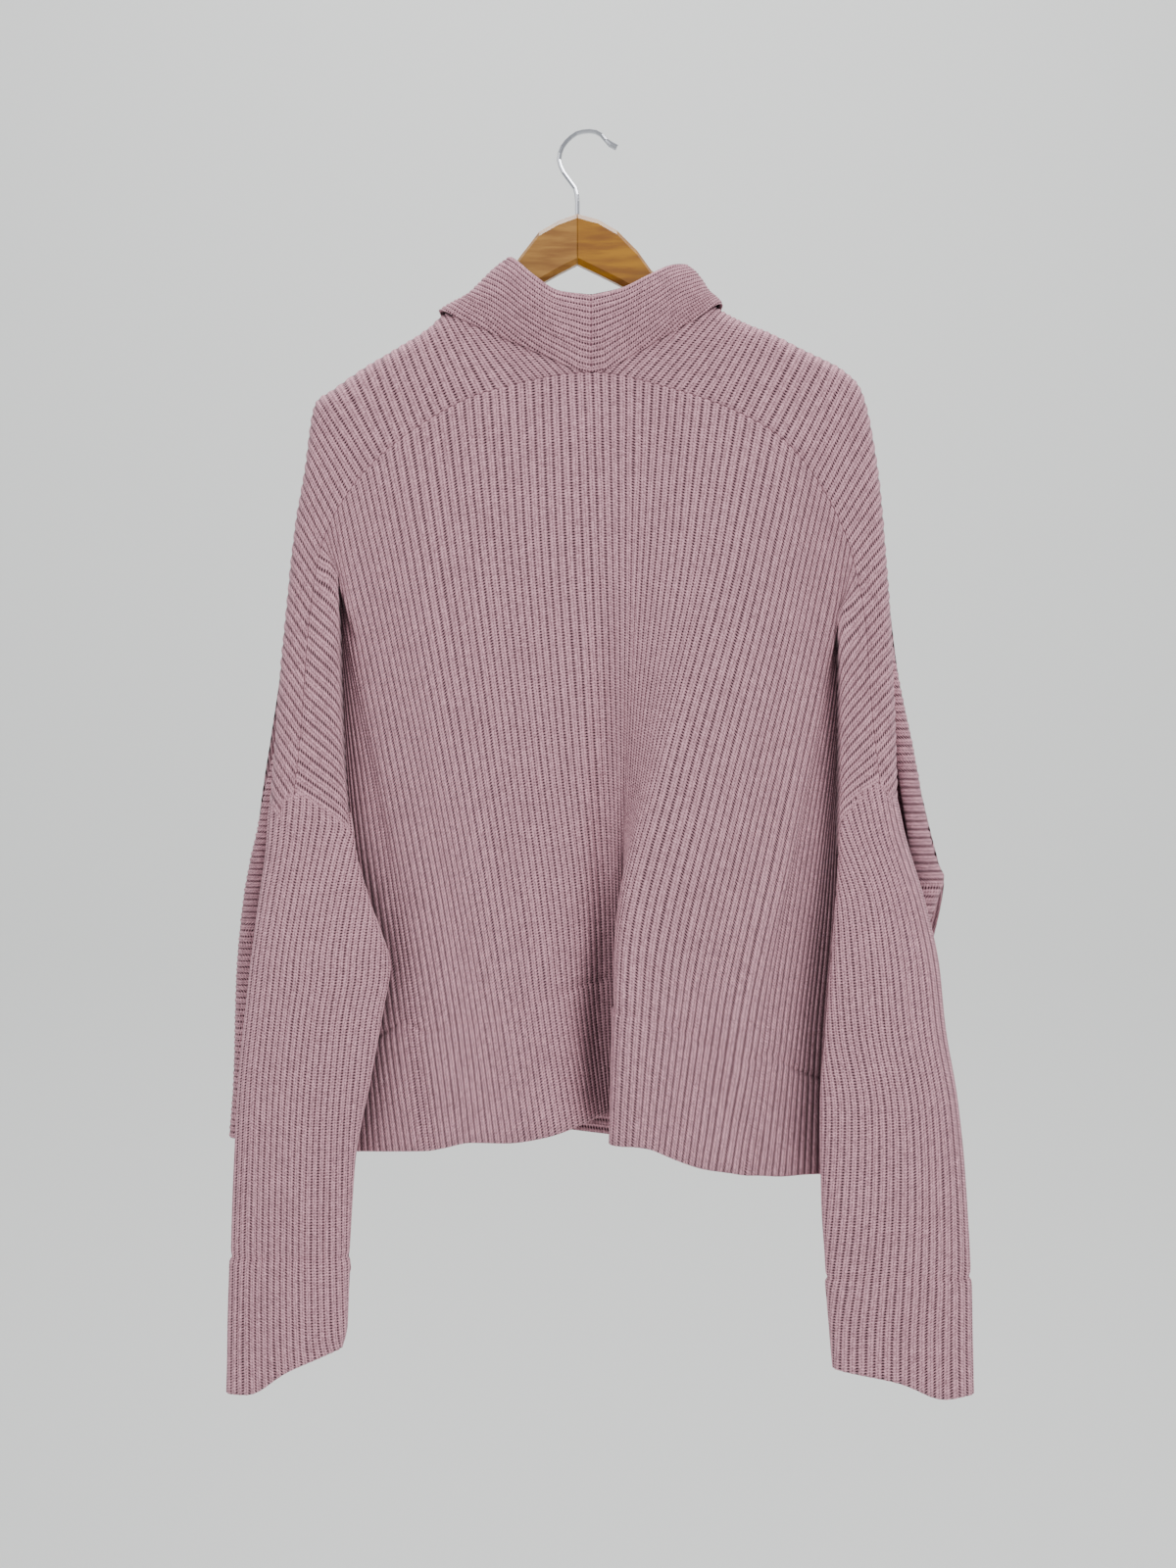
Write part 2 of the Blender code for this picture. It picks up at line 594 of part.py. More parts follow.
def make_front(name, shoulder, side, over, plain_after=None):
    places = rib_places(0, FRONT_RIBS)
    grid = front_surface(shoulder, side, over, places)
    out = facing(normals(grid), 0)
    out[0] = STRAIGHT_BACK
    inner = grid - out * thickness(len(grid), set())
    inner[0] += seam_points(read(shoulder, "rib", places, "seam")[:, 0], INNER_SHIFT) - seam_points(
        read(shoulder, "rib", places, "seam")[:, 0])
    panel(name, grid, out, places, inner, plain_after)


def make_sleeve(name, rings):
    places = np.arange(2 * SLEEVE_RIBS) / (2 * SLEEVE_RIBS)
    rows = np.linspace(0, 1, SLEEVE_ROWS)
    grid = sleeve_surface(rings, rows, places)
    out = normals(grid, ring=True)
    if (out[5] * (grid[5] - grid[5].mean(0))).sum() < 0:
        out = -out
    inner = grid - out * thickness(len(grid), {SLEEVE_ROWS - 1, SLEEVE_ROWS - 2})
    panel(name, grid, out, places, inner, ring=True)


def make_collar(name, shoulder, side, over, rims):
    places = rib_places(0, COLLAR_RIBS)
    grid = collar_surface(shoulder, side, over, rims, COLLAR_ROWS, places / COLLAR_RIBS)
    out = facing(normals(grid), 0)
    out[0] = unit(out[0] * np.array([0, 1, 1]))
    panel(name, grid, out, places, grid - out * thickness(len(grid), set(), COLLAR_WALL))


def make_arm(name, sections):
    """One half of the wooden hanger: rounded sections, closed at both ends."""
    points, faces = [], []
    corner = WOOD_ROUND
    for arm in sections:
        middle, tall, half = (arm.top + arm.bottom) / 2, (arm.top - arm.bottom) / 2, arm.half
        corner = min(WOOD_ROUND, 0.6 * tall, 0.6 * half)
        for y, z in ((half, tall - corner), (half - corner, tall), (corner - half, tall), (-half, tall - corner),
                     (-half, corner - tall), (corner - half, -tall), (half - corner, -tall), (half, corner - tall)):
            points.append((arm.x, y, middle + z))
    sides = 8
    for i in range(len(sections) - 1):
        for k in range(sides):
            a, b = i * sides + k, i * sides + (k + 1) % sides
            faces += [(a, b, b + sides), (a, b + sides, a + sides)]
    last = (len(sections) - 1) * sides
    for k in range(1, sides - 1):
        faces += [(0, k + 1, k), (last, last + k, last + k + 1)]
    solid(name, points, faces, "wood")


def make_hook():
    """The steel hook: round wire along a smooth route, thicker at its rounded tip."""
    route = np.array(HOOK_ROUTE, float)
    travelled = np.concatenate([[0], np.cumsum(np.linalg.norm(np.diff(route, axis=0), axis=1))])
    places = np.linspace(0, travelled[-1], HOOK_POINTS)
    curve = bpy.data.curves.new("hanger_hook", "CURVE")
    curve.dimensions = "3D"
    curve.bevel_depth = HOOK_WIRE / 2 * MM
    curve.bevel_resolution = 2
    curve.use_fill_caps = True
    spline = curve.splines.new("POLY")
    spline.points.add(HOOK_POINTS - 1)
    for point, (x, z) in zip(spline.points, smooth(travelled, route, places)):
        point.co = (x * MM, 0, z * MM, 1)
    spline.points[-1].radius = spline.points[-2].radius = HOOK_TIP
    dress(bpy.data.objects.new("hanger_hook", curve), "steel")


def main():
    for old in list(bpy.data.objects):
        bpy.data.objects.remove(old, do_unlink=True)
    hidden_rows = 2 + 2 * len(TURN_ROWS) - 1
    make_back()
    make_front("front_left", LEFT_SHOULDER, RIGHT_SIDE, 0, hidden_rows)
    make_front("front_right", RIGHT_SHOULDER, LEFT_SIDE, LAYER_GAP)
    make_collar("collar_left", LEFT_SHOULDER, RIGHT_SIDE, 0, LEFT_RIM)
    make_collar("collar_right", RIGHT_SHOULDER, LEFT_SIDE, LAYER_GAP, RIGHT_RIM)
    make_sleeve("sleeve_left", LEFT_SLEEVE)
    make_sleeve("sleeve_right", RIGHT_SLEEVE)
    make_arm("hanger_arm_left", LEFT_ARM)
    make_arm("hanger_arm_right", RIGHT_ARM)
    make_hook()


main()
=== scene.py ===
"""The looks of a cropped rib-knit sweater that hangs on a wooden hanger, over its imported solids.

Every cloth piece is a closed wall of knit: round ribs outside and inside, soft edges, and UVs that
count ribs and stitches for the yarn's shading. Left and right are as seen from behind, so left is -X.
The tables and sizes are in millimetres, and a row's place runs from 0 at a piece's top to 1 at its end.
"""

import math
from collections import namedtuple

import bpy
import numpy as np
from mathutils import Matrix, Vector

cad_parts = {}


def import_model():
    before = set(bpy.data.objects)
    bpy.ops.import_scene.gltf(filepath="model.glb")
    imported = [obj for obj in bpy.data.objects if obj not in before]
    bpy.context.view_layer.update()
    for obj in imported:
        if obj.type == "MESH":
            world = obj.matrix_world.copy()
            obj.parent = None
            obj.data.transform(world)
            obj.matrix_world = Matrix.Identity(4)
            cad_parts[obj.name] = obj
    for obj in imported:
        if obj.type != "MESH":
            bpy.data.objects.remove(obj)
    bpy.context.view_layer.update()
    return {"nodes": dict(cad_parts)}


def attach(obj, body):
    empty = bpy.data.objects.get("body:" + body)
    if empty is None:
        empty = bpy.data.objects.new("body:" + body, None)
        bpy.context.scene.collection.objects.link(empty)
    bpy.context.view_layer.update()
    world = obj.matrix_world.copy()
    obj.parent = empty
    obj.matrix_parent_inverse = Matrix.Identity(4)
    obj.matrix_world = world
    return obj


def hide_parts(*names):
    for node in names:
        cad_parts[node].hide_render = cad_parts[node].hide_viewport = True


MM = 0.001
NO_DEPTH, NO_SIDEWAYS = np.array([1, 0, 1]), np.array([0, 1, 1])  # factors for a vector

# Driving sizes of the knit
CLOTH = 1.2  # the yarn between the ribs of the two faces
RIB_HEIGHT = 0.85  # a rib's round crest, on each face
RIB_ROUND = 1.3  # over 1 it narrows the crests
RIB_COLUMNS, COLLAR_COLUMNS = 5, 7  # mesh columns to a rib
STITCH = 2.1  # length of one stitch down a rib
SEAM_GAP = 0.2  # from a seam's line to each piece's edge
LAYER_GAP = 6.0  # from the inner front's outside to the outer front's outside
EDGE_ROUND = 0.8  # how far a rim's soft middle stands out from its edges

# Hand-made unevenness of each rib: its size, and the number of rows it takes to change
WANDER, WANDER_ROWS = 0.3, 9  # sideways
SWELL, SWELL_ROWS, SWELL_SEED = 0.12, 7, 5  # in height, as a share

# Turned-up hem and cuffs: they are thicker on both faces, below a stitched groove
HEM_OUT, HEM_IN, GROOVE_DEEP = 0.96, 0.48, 1.1
STEP_LONG, GROOVE_LONG = 0.004, 0.0045  # of the way down the piece

# Slow unevenness of hanging cloth: waves of depth, each with its size, its lengths over X and Z, and
# its phase. They fade in from here down.
SAG_WAVES = [(0.8, 31, 97, 1.3), (0.6, -71, 43, 0.4), (0.45, 15, 61, 2.0), (0.35, 23, -37, 0)]
SAG_TOP, SAG_FADE = -150, 120

# Yarn: its colour in full light, the near-black of its painted shade, and its brightness between them, which
# paints the shade of the knit's relief
YARN_LIGHT = (0.86, 0.455, 0.53)
YARN_SHADED = (0.03, 0.009, 0.016)
ACROSS_RIB = [(0, 0.84), (0.25, 0.94), (0.42, 1.0), (0.62, 0.82), (0.82, 0.62), (1, 0.58)]  # painted shade across a rib, darker towards the furrow: crest to furrow
FURROW = [(0.5, 0.0), (0.75, 1.0)]  # where a furrow starts, in the same terms
GAP_SHADE, CREST_SHADE = 0.78, 0.6  # painted shade in the gaps between stitches: in the furrows, and on the crests
GAP_WIDE, CREST_WIDE = 0.5, 0.26  # their half widths, where 1 is from crest to furrow
GAP_CURVE = 0.5  # how far the gaps' rows bend beside a crest, in stitches
LEG_SHADE, LEG_SLOPE = 0.14, 1.6  # painted shade in slanting lines along the legs of each stitch
STITCH_TONES = (0.83, 1.17)  # the range over single stitches
FUZZ_TONES, FUZZ_SCALE = (-0.1, 2.1), 1100  # over the loose fibres
PATCH_TONES, PATCH_SCALE = (0.9, 1.1), 40  # and over slow patches
DEEP_SHADE = [(0.1, 0.12), (0.35, 0.44), (0.68, 1.0)]  # painted shade: the yarn's brightness where nearby cloth hides the light, in creases and recesses
DEEP_REACH, DEEP_SAMPLES = 0.07, 8  # how far away cloth still counts towards the painted shade, in metres
DENTS = {"legs": 0.35, "fuzz": 0.5, "gaps": 0.8}  # shares of the bump's depth
BUMP_STRENGTH, BUMP_DEEP = 0.8, 0.0008  # the depth in metres

# Surfaces, as settings of the Principled BSDF
KNIT_SURFACE = {"Roughness": 0.95, "Specular IOR Level": 0.12, "Sheen Weight": 0.25,
                "Sheen Roughness": 0.5, "Sheen Tint": (0.95, 0.75, 0.8, 1)}
WOOD_SURFACE = {"Roughness": 0.35, "Coat Weight": 0.4, "Coat Roughness": 0.2}
STEEL_SURFACE = {"Base Color": (0.55, 0.56, 0.6, 1), "Metallic": 1, "Roughness": 0.16}
THREAD_SURFACE = {"Base Color": (0.17, 0.065, 0.09, 1), "Roughness": 0.9}
FLOOR_SURFACE = {"Base Color": (0.78, 0.79, 0.775, 1), "Roughness": 0.9}

WOOD_LEFT = [(0.3, (0.26, 0.105, 0.018)), (0.7, (0.49, 0.24, 0.045))]  # grain, and the wood between
WOOD_RIGHT = [(0.3, (0.25, 0.09, 0.006)), (0.7, (0.445, 0.19, 0.004))]
GRAIN_STRETCH, GRAIN_SCALE, GRAIN_DETAIL = (8, 60, 60), 3, 5

# Sewing: its radius and its corners, and how far each line of it lies under the cloth's face
SEAM_THREAD, THREAD_SIDES = 0.7, 6
SEAM_SUNK, NAPE_SUNK = 0.5, 0.2
SEWN, SEWN_POINTS = (-430, 415), 300  # the part of the curved seam that shows
NAPE_POINTS = 30

# Joint of the hanger's halves: an eight-sided plate that shows as a thin line
JOINT_X, JOINT_HALF = -10, 0.38
JOINT_DEEP, JOINT_Z = (3.5, 6.6), ((-60.4, -63.5), (-96.6, -93.5))

# Sleeves: ribs from the outer edge to the inner one, on each side, at shares of the length. The
# others end at the inner edge.
LEFT_SLEEVE_RIBS = [(0, 15), (0.1, 15), (0.2, 16.4), (0.3, 21), (0.4, 26), (0.5, 26), (0.6, 25.2),
                    (0.7, 23.4), (0.8, 22.4), (0.9, 21.3), (1, 20)]
RIGHT_SLEEVE_RIBS = [(0, 11), (0.1, 11.9), (0.2, 13.4), (0.3, 17.8), (0.4, 19.5), (0.5, 21.2), (0.6, 24),
                     (0.7, 23), (0.8, 20.8), (0.9, 19.4), (1, 18.7)]

# Collar: more ribs come in at its lower edge towards the shoulder, and its outline slumps there
COLLAR_GAIN = [(0, 0), (0.35, 1.5), (0.7, 4.5), (1, 5.5), (2, 5.5)]
SLUMP_DEEP, SLUMP_LONG = 5, 0.35  # how far it drops, and over what length on each side
SLUMP_PLACE, SLUMP_WIDE = 0.42, 0.26  # where that is between its lower edge and its free one

Crease = namedtuple("Crease", "x top bottom deep wide lean fade")
CREASES = [  # folds pressed into the back. deep is towards the front, and lean is its shift in X per Z.
    Crease(7, -290, -640, 4, 9, 0, 140),
    Crease(24, -290, -640, -3, 10, 0, 140),
    Crease(60, -560, -900, -2.5, 9, 0, 90),
    Crease(72, -650, -900, 4, 10, -0.45, 50),
    Crease(-70, -640, -900, 3, 22, 0, 70),
    Crease(0, -590, -730, 7, 13, 0, 60),
]

# The photographer's side of it, in metres and watts
AIM = (-0.0022, 0, -0.478)
CAMERA_FAR = 1.6
FRAME_HEIGHT = 1.152  # what the picture shows at the aim's distance
SENSOR = 36
WORLD_LIGHT, WORLD_COLOUR = 0.62, (0.95, 0.97, 1, 1)
LIGHTS = [  # name, place, size and power
    ("key", (1.7, -2.3, 1.8), 1.3, 70),
    ("fill", (-2.4, -2.2, 0.6), 2.0, 18),
    ("wall", (0.0, 0.6, 2.4), 2.5, 122),
]

# Floor that sweeps up to a wall, in millimetres
FLOOR_Z, FLOOR_FRONT, FLOOR_HALF = -1700, -4500, 5000
WALL_Y, WALL_TOP, SWEEP = 2500, 3800, 900
SWEEP_ANGLES = np.linspace(0.15, math.pi / 2, 10)

# Ribs of each panel
BACK_RIBS = (-62, 59)  # counted from the nape to each side
FRONT_RIBS = 63
COLLAR_RIBS = 12

Seam = namedtuple("Seam", "along x z y")
SEAM = [  # the curved seam that joins the back to both fronts, measured along from the nape
    Seam(-470, -219, -525, -25),
    Seam(-432, -215, -487, -25),
    Seam(-394, -211, -450, -24),
    Seam(-301, -204, -357, -23),
    Seam(-248, -195, -305, -22),
    Seam(-199, -173, -262, -19),
    Seam(-140, -130, -221, -17),
    Seam(-76, -74, -192, -15),
    Seam(0, 1, -178, -13),
    Seam(55, 55, -189, -15),
    Seam(116, 112, -210, -16),
    Seam(149, 140, -228, -17),
    Seam(203, 172, -271, -20),
    Seam(242, 187, -306, -22),
    Seam(301, 199, -364, -23),
    Seam(358, 203, -421, -24),
    Seam(415, 209, -478, -25),
    Seam(450, 213, -513, -25),
]

Fold = namedtuple("Fold", "rib seam turn_y tuck_y waist_y hem_x hem_y hem_z lean pinch edge_x edge_z",
                  defaults=(1, None, None))
BACK_FOLDS = [  # lines down the back along a rib. lean says how early it reaches its place over the
    # hem, and pinch draws its lower half there; edge is where the dropped shoulder turns under
    Fold(-62, -450, -23, -4, -3, -244, -3, -745, 3, 1, -176, -536),
    Fold(-60.3, -432, -24, -4, -3, -230, -3, -745, 3, 1, -175, -518),
    Fold(-58.2, -415, -24, -4, -3, -216, -5, -746, 3, 1, -176, -503),
    Fold(-54, -380, -24, -3, -4, -194, -8, -746, 2, 1, -179, -469),
    Fold(-48.7, -337, -24, -3, -5, -170, -13, -745, 1.4, 1, -181.5, -423),
    Fold(-43.1, -290, -23, -4, -7, -144, -20, -744, 1, 1, -183, -370),
    Fold(-38, -249, -21, -8, -10, -120, -25, -743, 1, 1, -184, -325),
    Fold(-34.5, -228, -19, -13, -17, -106, -30, -740, 1.15),
    Fold(-30, -202, -18, -16, -24, -87, -32, -736, 1.27),
    Fold(-24, -165, -18, -19, -26, -61, -28, -737, 1.1, 0.95),
    Fold(-18, -118, -18, -20, -25, -35, -23, -734, 0.95, 0.9),
    Fold(-12, -76, -18, -20, -21, -9.5, -17, -727, 0.7, 0.77),
    Fold(-6, -37, -17, -19, -16, 8, -7, -721, 0.5, 0.56),
    Fold(0, 0, -16, -17, -10, 19, 3, -716, 1, 0.5),
    Fold(4, 25, -17, -18, -10, 23, 6, -716, 1, 0.5),
    Fold(8, 51, -17, -19, -16, 22, 0, -723, 1.3, 0.3),
    Fold(12, 76, -18, -20, -23, 17.5, -12, -731, 1.05, 0.2),
    Fold(14, 90, -18, -20, -26, 15, -22, -735, 1, 0.12),
    Fold(17, 110, -19, -21, -28, 14.5, -37, -737, 1.02, 0.2),
    Fold(20.5, 136, -19, -21, -27, 27, -43, -737, 1.08, 0.4),
    Fold(23.5, 158, -19, -21, -25, 41, -41, -739, 1.08, 0.58),
    Fold(26.5, 179, -18, -20, -24, 54, -33, -745, 1.06, 0.68),
    Fold(32.5, 218, -18, -18, -23, 82, -27, -756, 1.05, 0.78),
    Fold(36, 245, -18, -13, -19, 101, -25, -759, 0.95, 0.8),
    Fold(39, 270, -21, -9, -13, 116, -20, -762, 1, 0.85, 179, -358),
    Fold(43.2, 306, -23, -5, -8, 137, -15, -763, 1.2, 1, 181, -401),
    Fold(48, 345, -24, -3, -5, 160, -11, -762, 1.6, 1, 181, -439),
    Fold(52.7, 382, -24, -3, -4, 184, -7, -762, 2.4, 1, 181, -475),
    Fold(57.2, 415, -24, -4, -3, 214, -4, -761, 3, 1, 180, -503),
    Fold(59, 432, -23, -4, -3, 235, -3, -760, 3, 1, 180, -518),
]
TUCK_DROP = 10  # from the turned edge down to the cloth behind it
TUCK_PLACE = 0.2  # where that is down the back
HEM_LINE, CUFF_LINE = 0.82, 0.8  # places of the stitching that holds the turned-up cloth
BACK_LEVELS = np.array([0, 0.14, TUCK_PLACE, 0.5, 0.74, HEM_LINE, 1])  # seam, turn, tuck, then waist to hem
TO_HEM = np.array([0, 0.55, 0.85, 1])  # how far the waist's depth has become the hem's
HEM_GAP = 5 * SEAM_GAP  # from the back's edges to the side seams

# Rows of each mesh: where their spacing changes down the piece, and the steps in each part
BACK_ROWS = (0, TUCK_PLACE, HEM_LINE - 0.015, HEM_LINE + 0.015, 1), (18, 40, 8, 12)
SLEEVE_ROWS = (0, CUFF_LINE - 0.02, CUFF_LINE + 0.02, 1), (50, 8, 12)
COLLAR_ROWS = (0, 0.85, 1.3, 2), (26, 22, 26)

Rib = namedtuple("Rib", "rib out_x out_z seam drop_x drop_z")
LEFT_SHOULDER = [  # where each rib of the left front passes over the shoulder, its place on the curved
    # seam, and where it starts down the chest. The first ones lie under the collar.
    Rib(0, -72, -112, -2, -66, -128),
    Rib(5, -86, -121, -30, -80, -137),
    Rib(9.5, -98, -128.5, -53, -92, -144),
    Rib(13.5, -109.5, -135, -83, -104, -151),
    Rib(15.5, -118, -143, -97, -113, -159),
    Rib(20, -142, -158.5, -128, -138, -174),
    Rib(24, -166, -173, -156, -164, -189),
    Rib(27, -188, -188.5, -174, -187, -205),
    Rib(29.7, -201.5, -199, -190, -202.5, -221),
    Rib(36, -209, -250, -231, -212, -279),
    Rib(41, -216, -292, -264, -219, -325),
    Rib(48.6, -223.5, -363, -332, -229, -399),
    Rib(53.6, -227.5, -407, -377, -235.5, -443),
    Rib(59.8, -231.5, -462, -432, -243, -492),
    Rib(63, -234, -492, -461, -246, -518),
]
LEFT_FOLD = [  # the line of the collar's lower edge, and another beside it, in the same terms
    Rib(0, -107, -133, -2, -101, -149),
    Rib(3, -117, -142, -47, -112, -158),
]
RIGHT_SHOULDER = [
    Rib(0, 70, -112, 2, 64, -128),
    Rib(8.2, 97, -132, 49, 92, -148),
    Rib(13.1, 115, -141, 81, 112, -158),
    Rib(16.6, 130, -147, 104, 128, -165),
    Rib(21, 158, -161, 134, 157, -179),
    Rib(25.4, 184, -174.5, 166, 184, -194),
    Rib(28.5, 197, -188, 184, 199, -212),
    Rib(35.1, 209, -246, 225, 213, -277),
    Rib(41.5, 214.5, -306, 268, 220, -342),
    Rib(48.9, 219, -369, 328, 230, -419),
    Rib(57.5, 222, -443, 398, 248, -502),
    Rib(63, 223, -489, 442, 261, -552),
]
RIGHT_FOLD = [
    Rib(0, 92, -128.5, 2, 87, -145),
    Rib(3, 103, -136, 50, 99, -153),
]

Side = namedtuple("Side", "z out_x seam_x")
LEFT_SIDE = [  # the body's outermost line, and its side seam, from under the arm to the hem
    Side(-738, -267, -246),
    Side(-695, -264, -243.8),
    Side(-622, -262, -239.9),
    Side(-565, -257, -237),
    Side(-536, -252, -235.5),
    Side(-510, -246, -234),
    Side(-480, -240, -230),
    Side(-455, -234, -226),
]
RIGHT_SIDE = [
    Side(-757, 253, 237),
    Side(-695, 253, 236),
    Side(-622, 251, 234.8),
    Side(-585, 249, 233.8),
    Side(-566, 254, 235),
    Side(-546, 260, 238),
    Side(-536, 255, 236),
    Side(-500, 246, 230),
    Side(-449, 236.5, 222),
    Side(-406, 227.5, 214),
    Side(-370, 220.5, 208),
]
SIDE_Y, SIDE_SEAM_Y = 4, -3

TURN_REACH = 12  # how far down each side the shoulder's rounded turn reaches
TURN_SHARE = 0.6  # it takes at most this share of the way to the seam
TURN_SUNK = 0.5  # how far its foot lies under the seam
SHOULDER_Y, DROP_Y = 0, -8  # depth of the turn over the hanger, and beyond its end
HANGER_END, DROP_RIBS = 29, 12  # the rib that passes the hanger's tip, and how many change the depth
ARRIVE_HIGH = 22  # how far above its end the inner front's last rib arrives

# Each rib's curve over the chest: its two handles, for the first rib and for the last. The first
# handle's X is a share of the start's, and the rest are shares of the way from start to end.
BELOW_X, BELOW_Z = (0.7, 0.9), (0.25, 0.95)
BESIDE_X, BESIDE_Z = (0.38, 0.25), (0.75, 1.0)

# Rows of the fronts: shares of the way from the seam to the turn, distances from the turn's top, shares
# of the way across the chest, and shares of the way back to the side seam, with those of its depth
YOKE_ROWS = np.linspace(0, 1, 16)[:-1]
TURN_ROWS = [12, 10, 8, 6, 4.5, 3, 2, 1, 0.3]
CHEST_ROWS = np.linspace(0, 1, 52)
CURL_ROWS = [(0.04, 0.3), (0.1, 0.6), (0.2, 0.85), (0.5, 0.96), (1.0, 1.0)]

# The fronts' depth: at the chest and what the hem adds, a wave along the hem, and the part near the
# sides that bends back
CHEST_Y, HEM_ADDS, HEM_WAVE, WAVE_LONG, WAVE_PHASE = 12, 6, 3, 34, 0.8
WAVE_TOP, WAVE_FADE = -260, 450
CHEST_TOP, CHEST_FADE, LOOSE_FADE = -200, 500, 150
BEND_X, BEND_LONG = (180, 90), (110, 145)  # at the chest, and where the cloth hangs loose

Ring = namedtuple("Ring", "out_x out_z in_x in_z back_y out_front_y in_front_y peak")
LEFT_SLEEVE = [  # rings down the sleeve, from inside the armhole seam to the cuff's edge
    Ring(-231.5, -483, -175, -499, -23.5, -1, -13, 10),
    Ring(-233.5, -493, -173, -511, -26.5, -1, -14, 8),
    Ring(-235, -522, -171, -526, -30, -3, -15, 3),
    Ring(-240, -563, -160, -563, -37, -6, -20, 0),
    Ring(-245, -609, -145, -609, -45, -12, -25, 0),
    Ring(-248, -641, -150, -641, -47, -14, -27, 0),
    Ring(-253, -691, -159, -691, -48, -15, -25, 0),
    Ring(-256, -747, -170, -747, -46, -15, -22, 0),
    Ring(-259, -818, -175, -818, -42, -14, -18, 0),
    Ring(-261, -880, -178, -872, -40, -13, -15, 0),
    Ring(-262, -916, -181, -884, -39, -12, -14, 0),
]
RIGHT_SLEEVE = [
    Ring(219.5, -477, 183.5, -490, -23.5, -1, -13, 12),
    Ring(222, -489, 180.5, -503, -26.5, -1, -14, 10),
    Ring(227, -514, 180, -520, -30, -3, -15, 3),
    Ring(241, -563, 177, -563, -37, -6, -20, 0),
    Ring(250, -606, 173, -606, -43, -12, -23, 0),
    Ring(255, -655, 169, -655, -46, -14, -26, 0),
    Ring(264, -712, 165, -712, -48, -15, -28, 0),
    Ring(270, -776, 166, -776, -46, -15, -22, 0),
    Ring(273, -833, 170, -833, -43, -14, -18, 0),
    Ring(274, -880, 173, -868, -40, -13, -15, 0),
    Ring(275, -916, 176, -899, -39, -12, -14, 0),
]
PEAK_PLACE = 0.28  # where the curved seam meets the sleeve's top
FLATNESS = 0.62  # under 1 flattens a sleeve's section
SECTION_DEEP = 0.35  # its depth against its width, which spaces the ribs
CUFF_SAG = 7  # how far the cuff's outer corner hangs below its line
CUFF_SAG_TOP = 0.9  # from this place down
CUFF_SAG_PLACE, CUFF_SAG_WIDE = 0.25, 0.2  # from the outer edge inwards

Rim = namedtuple("Rim", "place x z y swell")
LEFT_RIM = [  # the collar's free edge. place is 0 at the nape, 1 over the shoulder, 2 at the chest
    Rim(0, 0, -121, -12, 4),
    Rim(0.2, -22, -119, -15, 6),
    Rim(0.4, -41, -108, -17, 7),
    Rim(0.65, -53, -97, -13, 5),
    Rim(0.88, -59, -92, -5, 2),
    Rim(1, -60, -92, 2, 1),
    Rim(1.08, -58, -96, 10, 2),
    Rim(1.2, -53, -110, 17, 4),
    Rim(1.5, -41, -188, 27, 6),
    Rim(1.8, -25, -258, 30, 5),
    Rim(2, -15, -298, 30, 3),
]
RIGHT_RIM = [
    Rim(0, 0, -121, -12, 4),
    Rim(0.2, 21, -117, -15, 6),
    Rim(0.4, 41, -108, -17, 8),
    Rim(0.65, 58, -100, -14, 7),
    Rim(0.88, 69, -98, -5, 4),
    Rim(1, 70, -98, 2, 3),
    Rim(1.08, 67, -102, 11, 4),
    Rim(1.2, 61, -116, 19, 5),
    Rim(1.5, 46, -190, 31, 6),
    Rim(1.8, 27, -258, 36, 5),
    Rim(2, 15, -298, 37, 3),
]
COLLAR_LIFT = (0.8, 4.9)  # of its lower edge off the front: at both ends, and over the shoulder
COLLAR_OVERLAP = 0.3  # ribs of the front that this edge hides
COLLAR_END = 25  # how far from the centre each half stops on the chest
COLLAR_ROUND = 0.8  # under 1 makes its swell fuller near its edges
CENTRE_GAP = 0.15  # from the nape seam to each half
NECK_YOKE = (0, 0.5)  # rows of the front that carry its lower edge: above the turn,
NECK_TURN = (12, 8, 5, 2.5, 1, 0)  # on the turn,
NECK_CHEST = np.linspace(0, 0.7, 71)  # and down the chest
LIFT_LAST = 60  # the row by which the lift has gone again


def smooth(knots, values, at):
    """Values at these places on a monotone cubic through the table, which never overshoots."""
    knots = np.asarray(knots, float)
    values = np.asarray(values, float)
    at = np.clip(np.asarray(at, float), knots[0], knots[-1])
    column = (-1,) + (1,) * (values.ndim - 1)
    step = np.diff(knots).reshape(column)
    slope = np.diff(values, axis=0) / step
    before, after = slope[:-1], slope[1:]
    near, far = 2 * step[1:] + step[:-1], step[1:] + 2 * step[:-1]
    same_way = before * after > 0
    safe_before, safe_after = np.where(same_way, before, 1), np.where(same_way, after, 1)
    tangent = np.zeros_like(values)
    tangent[1:-1] = np.where(same_way, (near + far) / (near / safe_before + far / safe_after), 0)
    tangent[0], tangent[-1] = slope[0], slope[-1]
    i = np.clip(np.searchsorted(knots, at, side="right") - 1, 0, len(knots) - 2)
    width = step[i]
    t = (at - knots[i]).reshape(column) / width
    return (
        (1 + 2 * t) * (1 - t) ** 2 * values[i]
        + t * (1 - t) ** 2 * width * tangent[i]
        + t * t * (3 - 2 * t) * values[i + 1]
        + t * t * (t - 1) * width * tangent[i + 1]
    )


def read(table, key, at, *names):
    """These columns of a table, at these values of its key column."""
    rows = sorted(table, key=lambda row: getattr(row, key))
    knots = [getattr(row, key) for row in rows]
    values = [[getattr(row, name) for name in names] for row in rows]
    return smooth(knots, values, at)


def eased(value):
    """0 below 0, 1 above 1, and a smooth step between."""
    t = np.clip(value, 0, 1)
    return t * t * (3 - 2 * t)


def between(pair, share):
    """From the pair's first value, at a share of 0, to its second one."""
    first, last = pair
    return first + (last - first) * share


def unit(vectors):
    """Vectors of length 1 the same way."""
    return vectors / np.maximum(np.linalg.norm(vectors, axis=-1, keepdims=True), 1e-9)


def lengths(line):
    """Length along a line of points, from its first one."""
    return np.concatenate([[0], np.cumsum(np.linalg.norm(np.diff(line, axis=0), axis=1))])


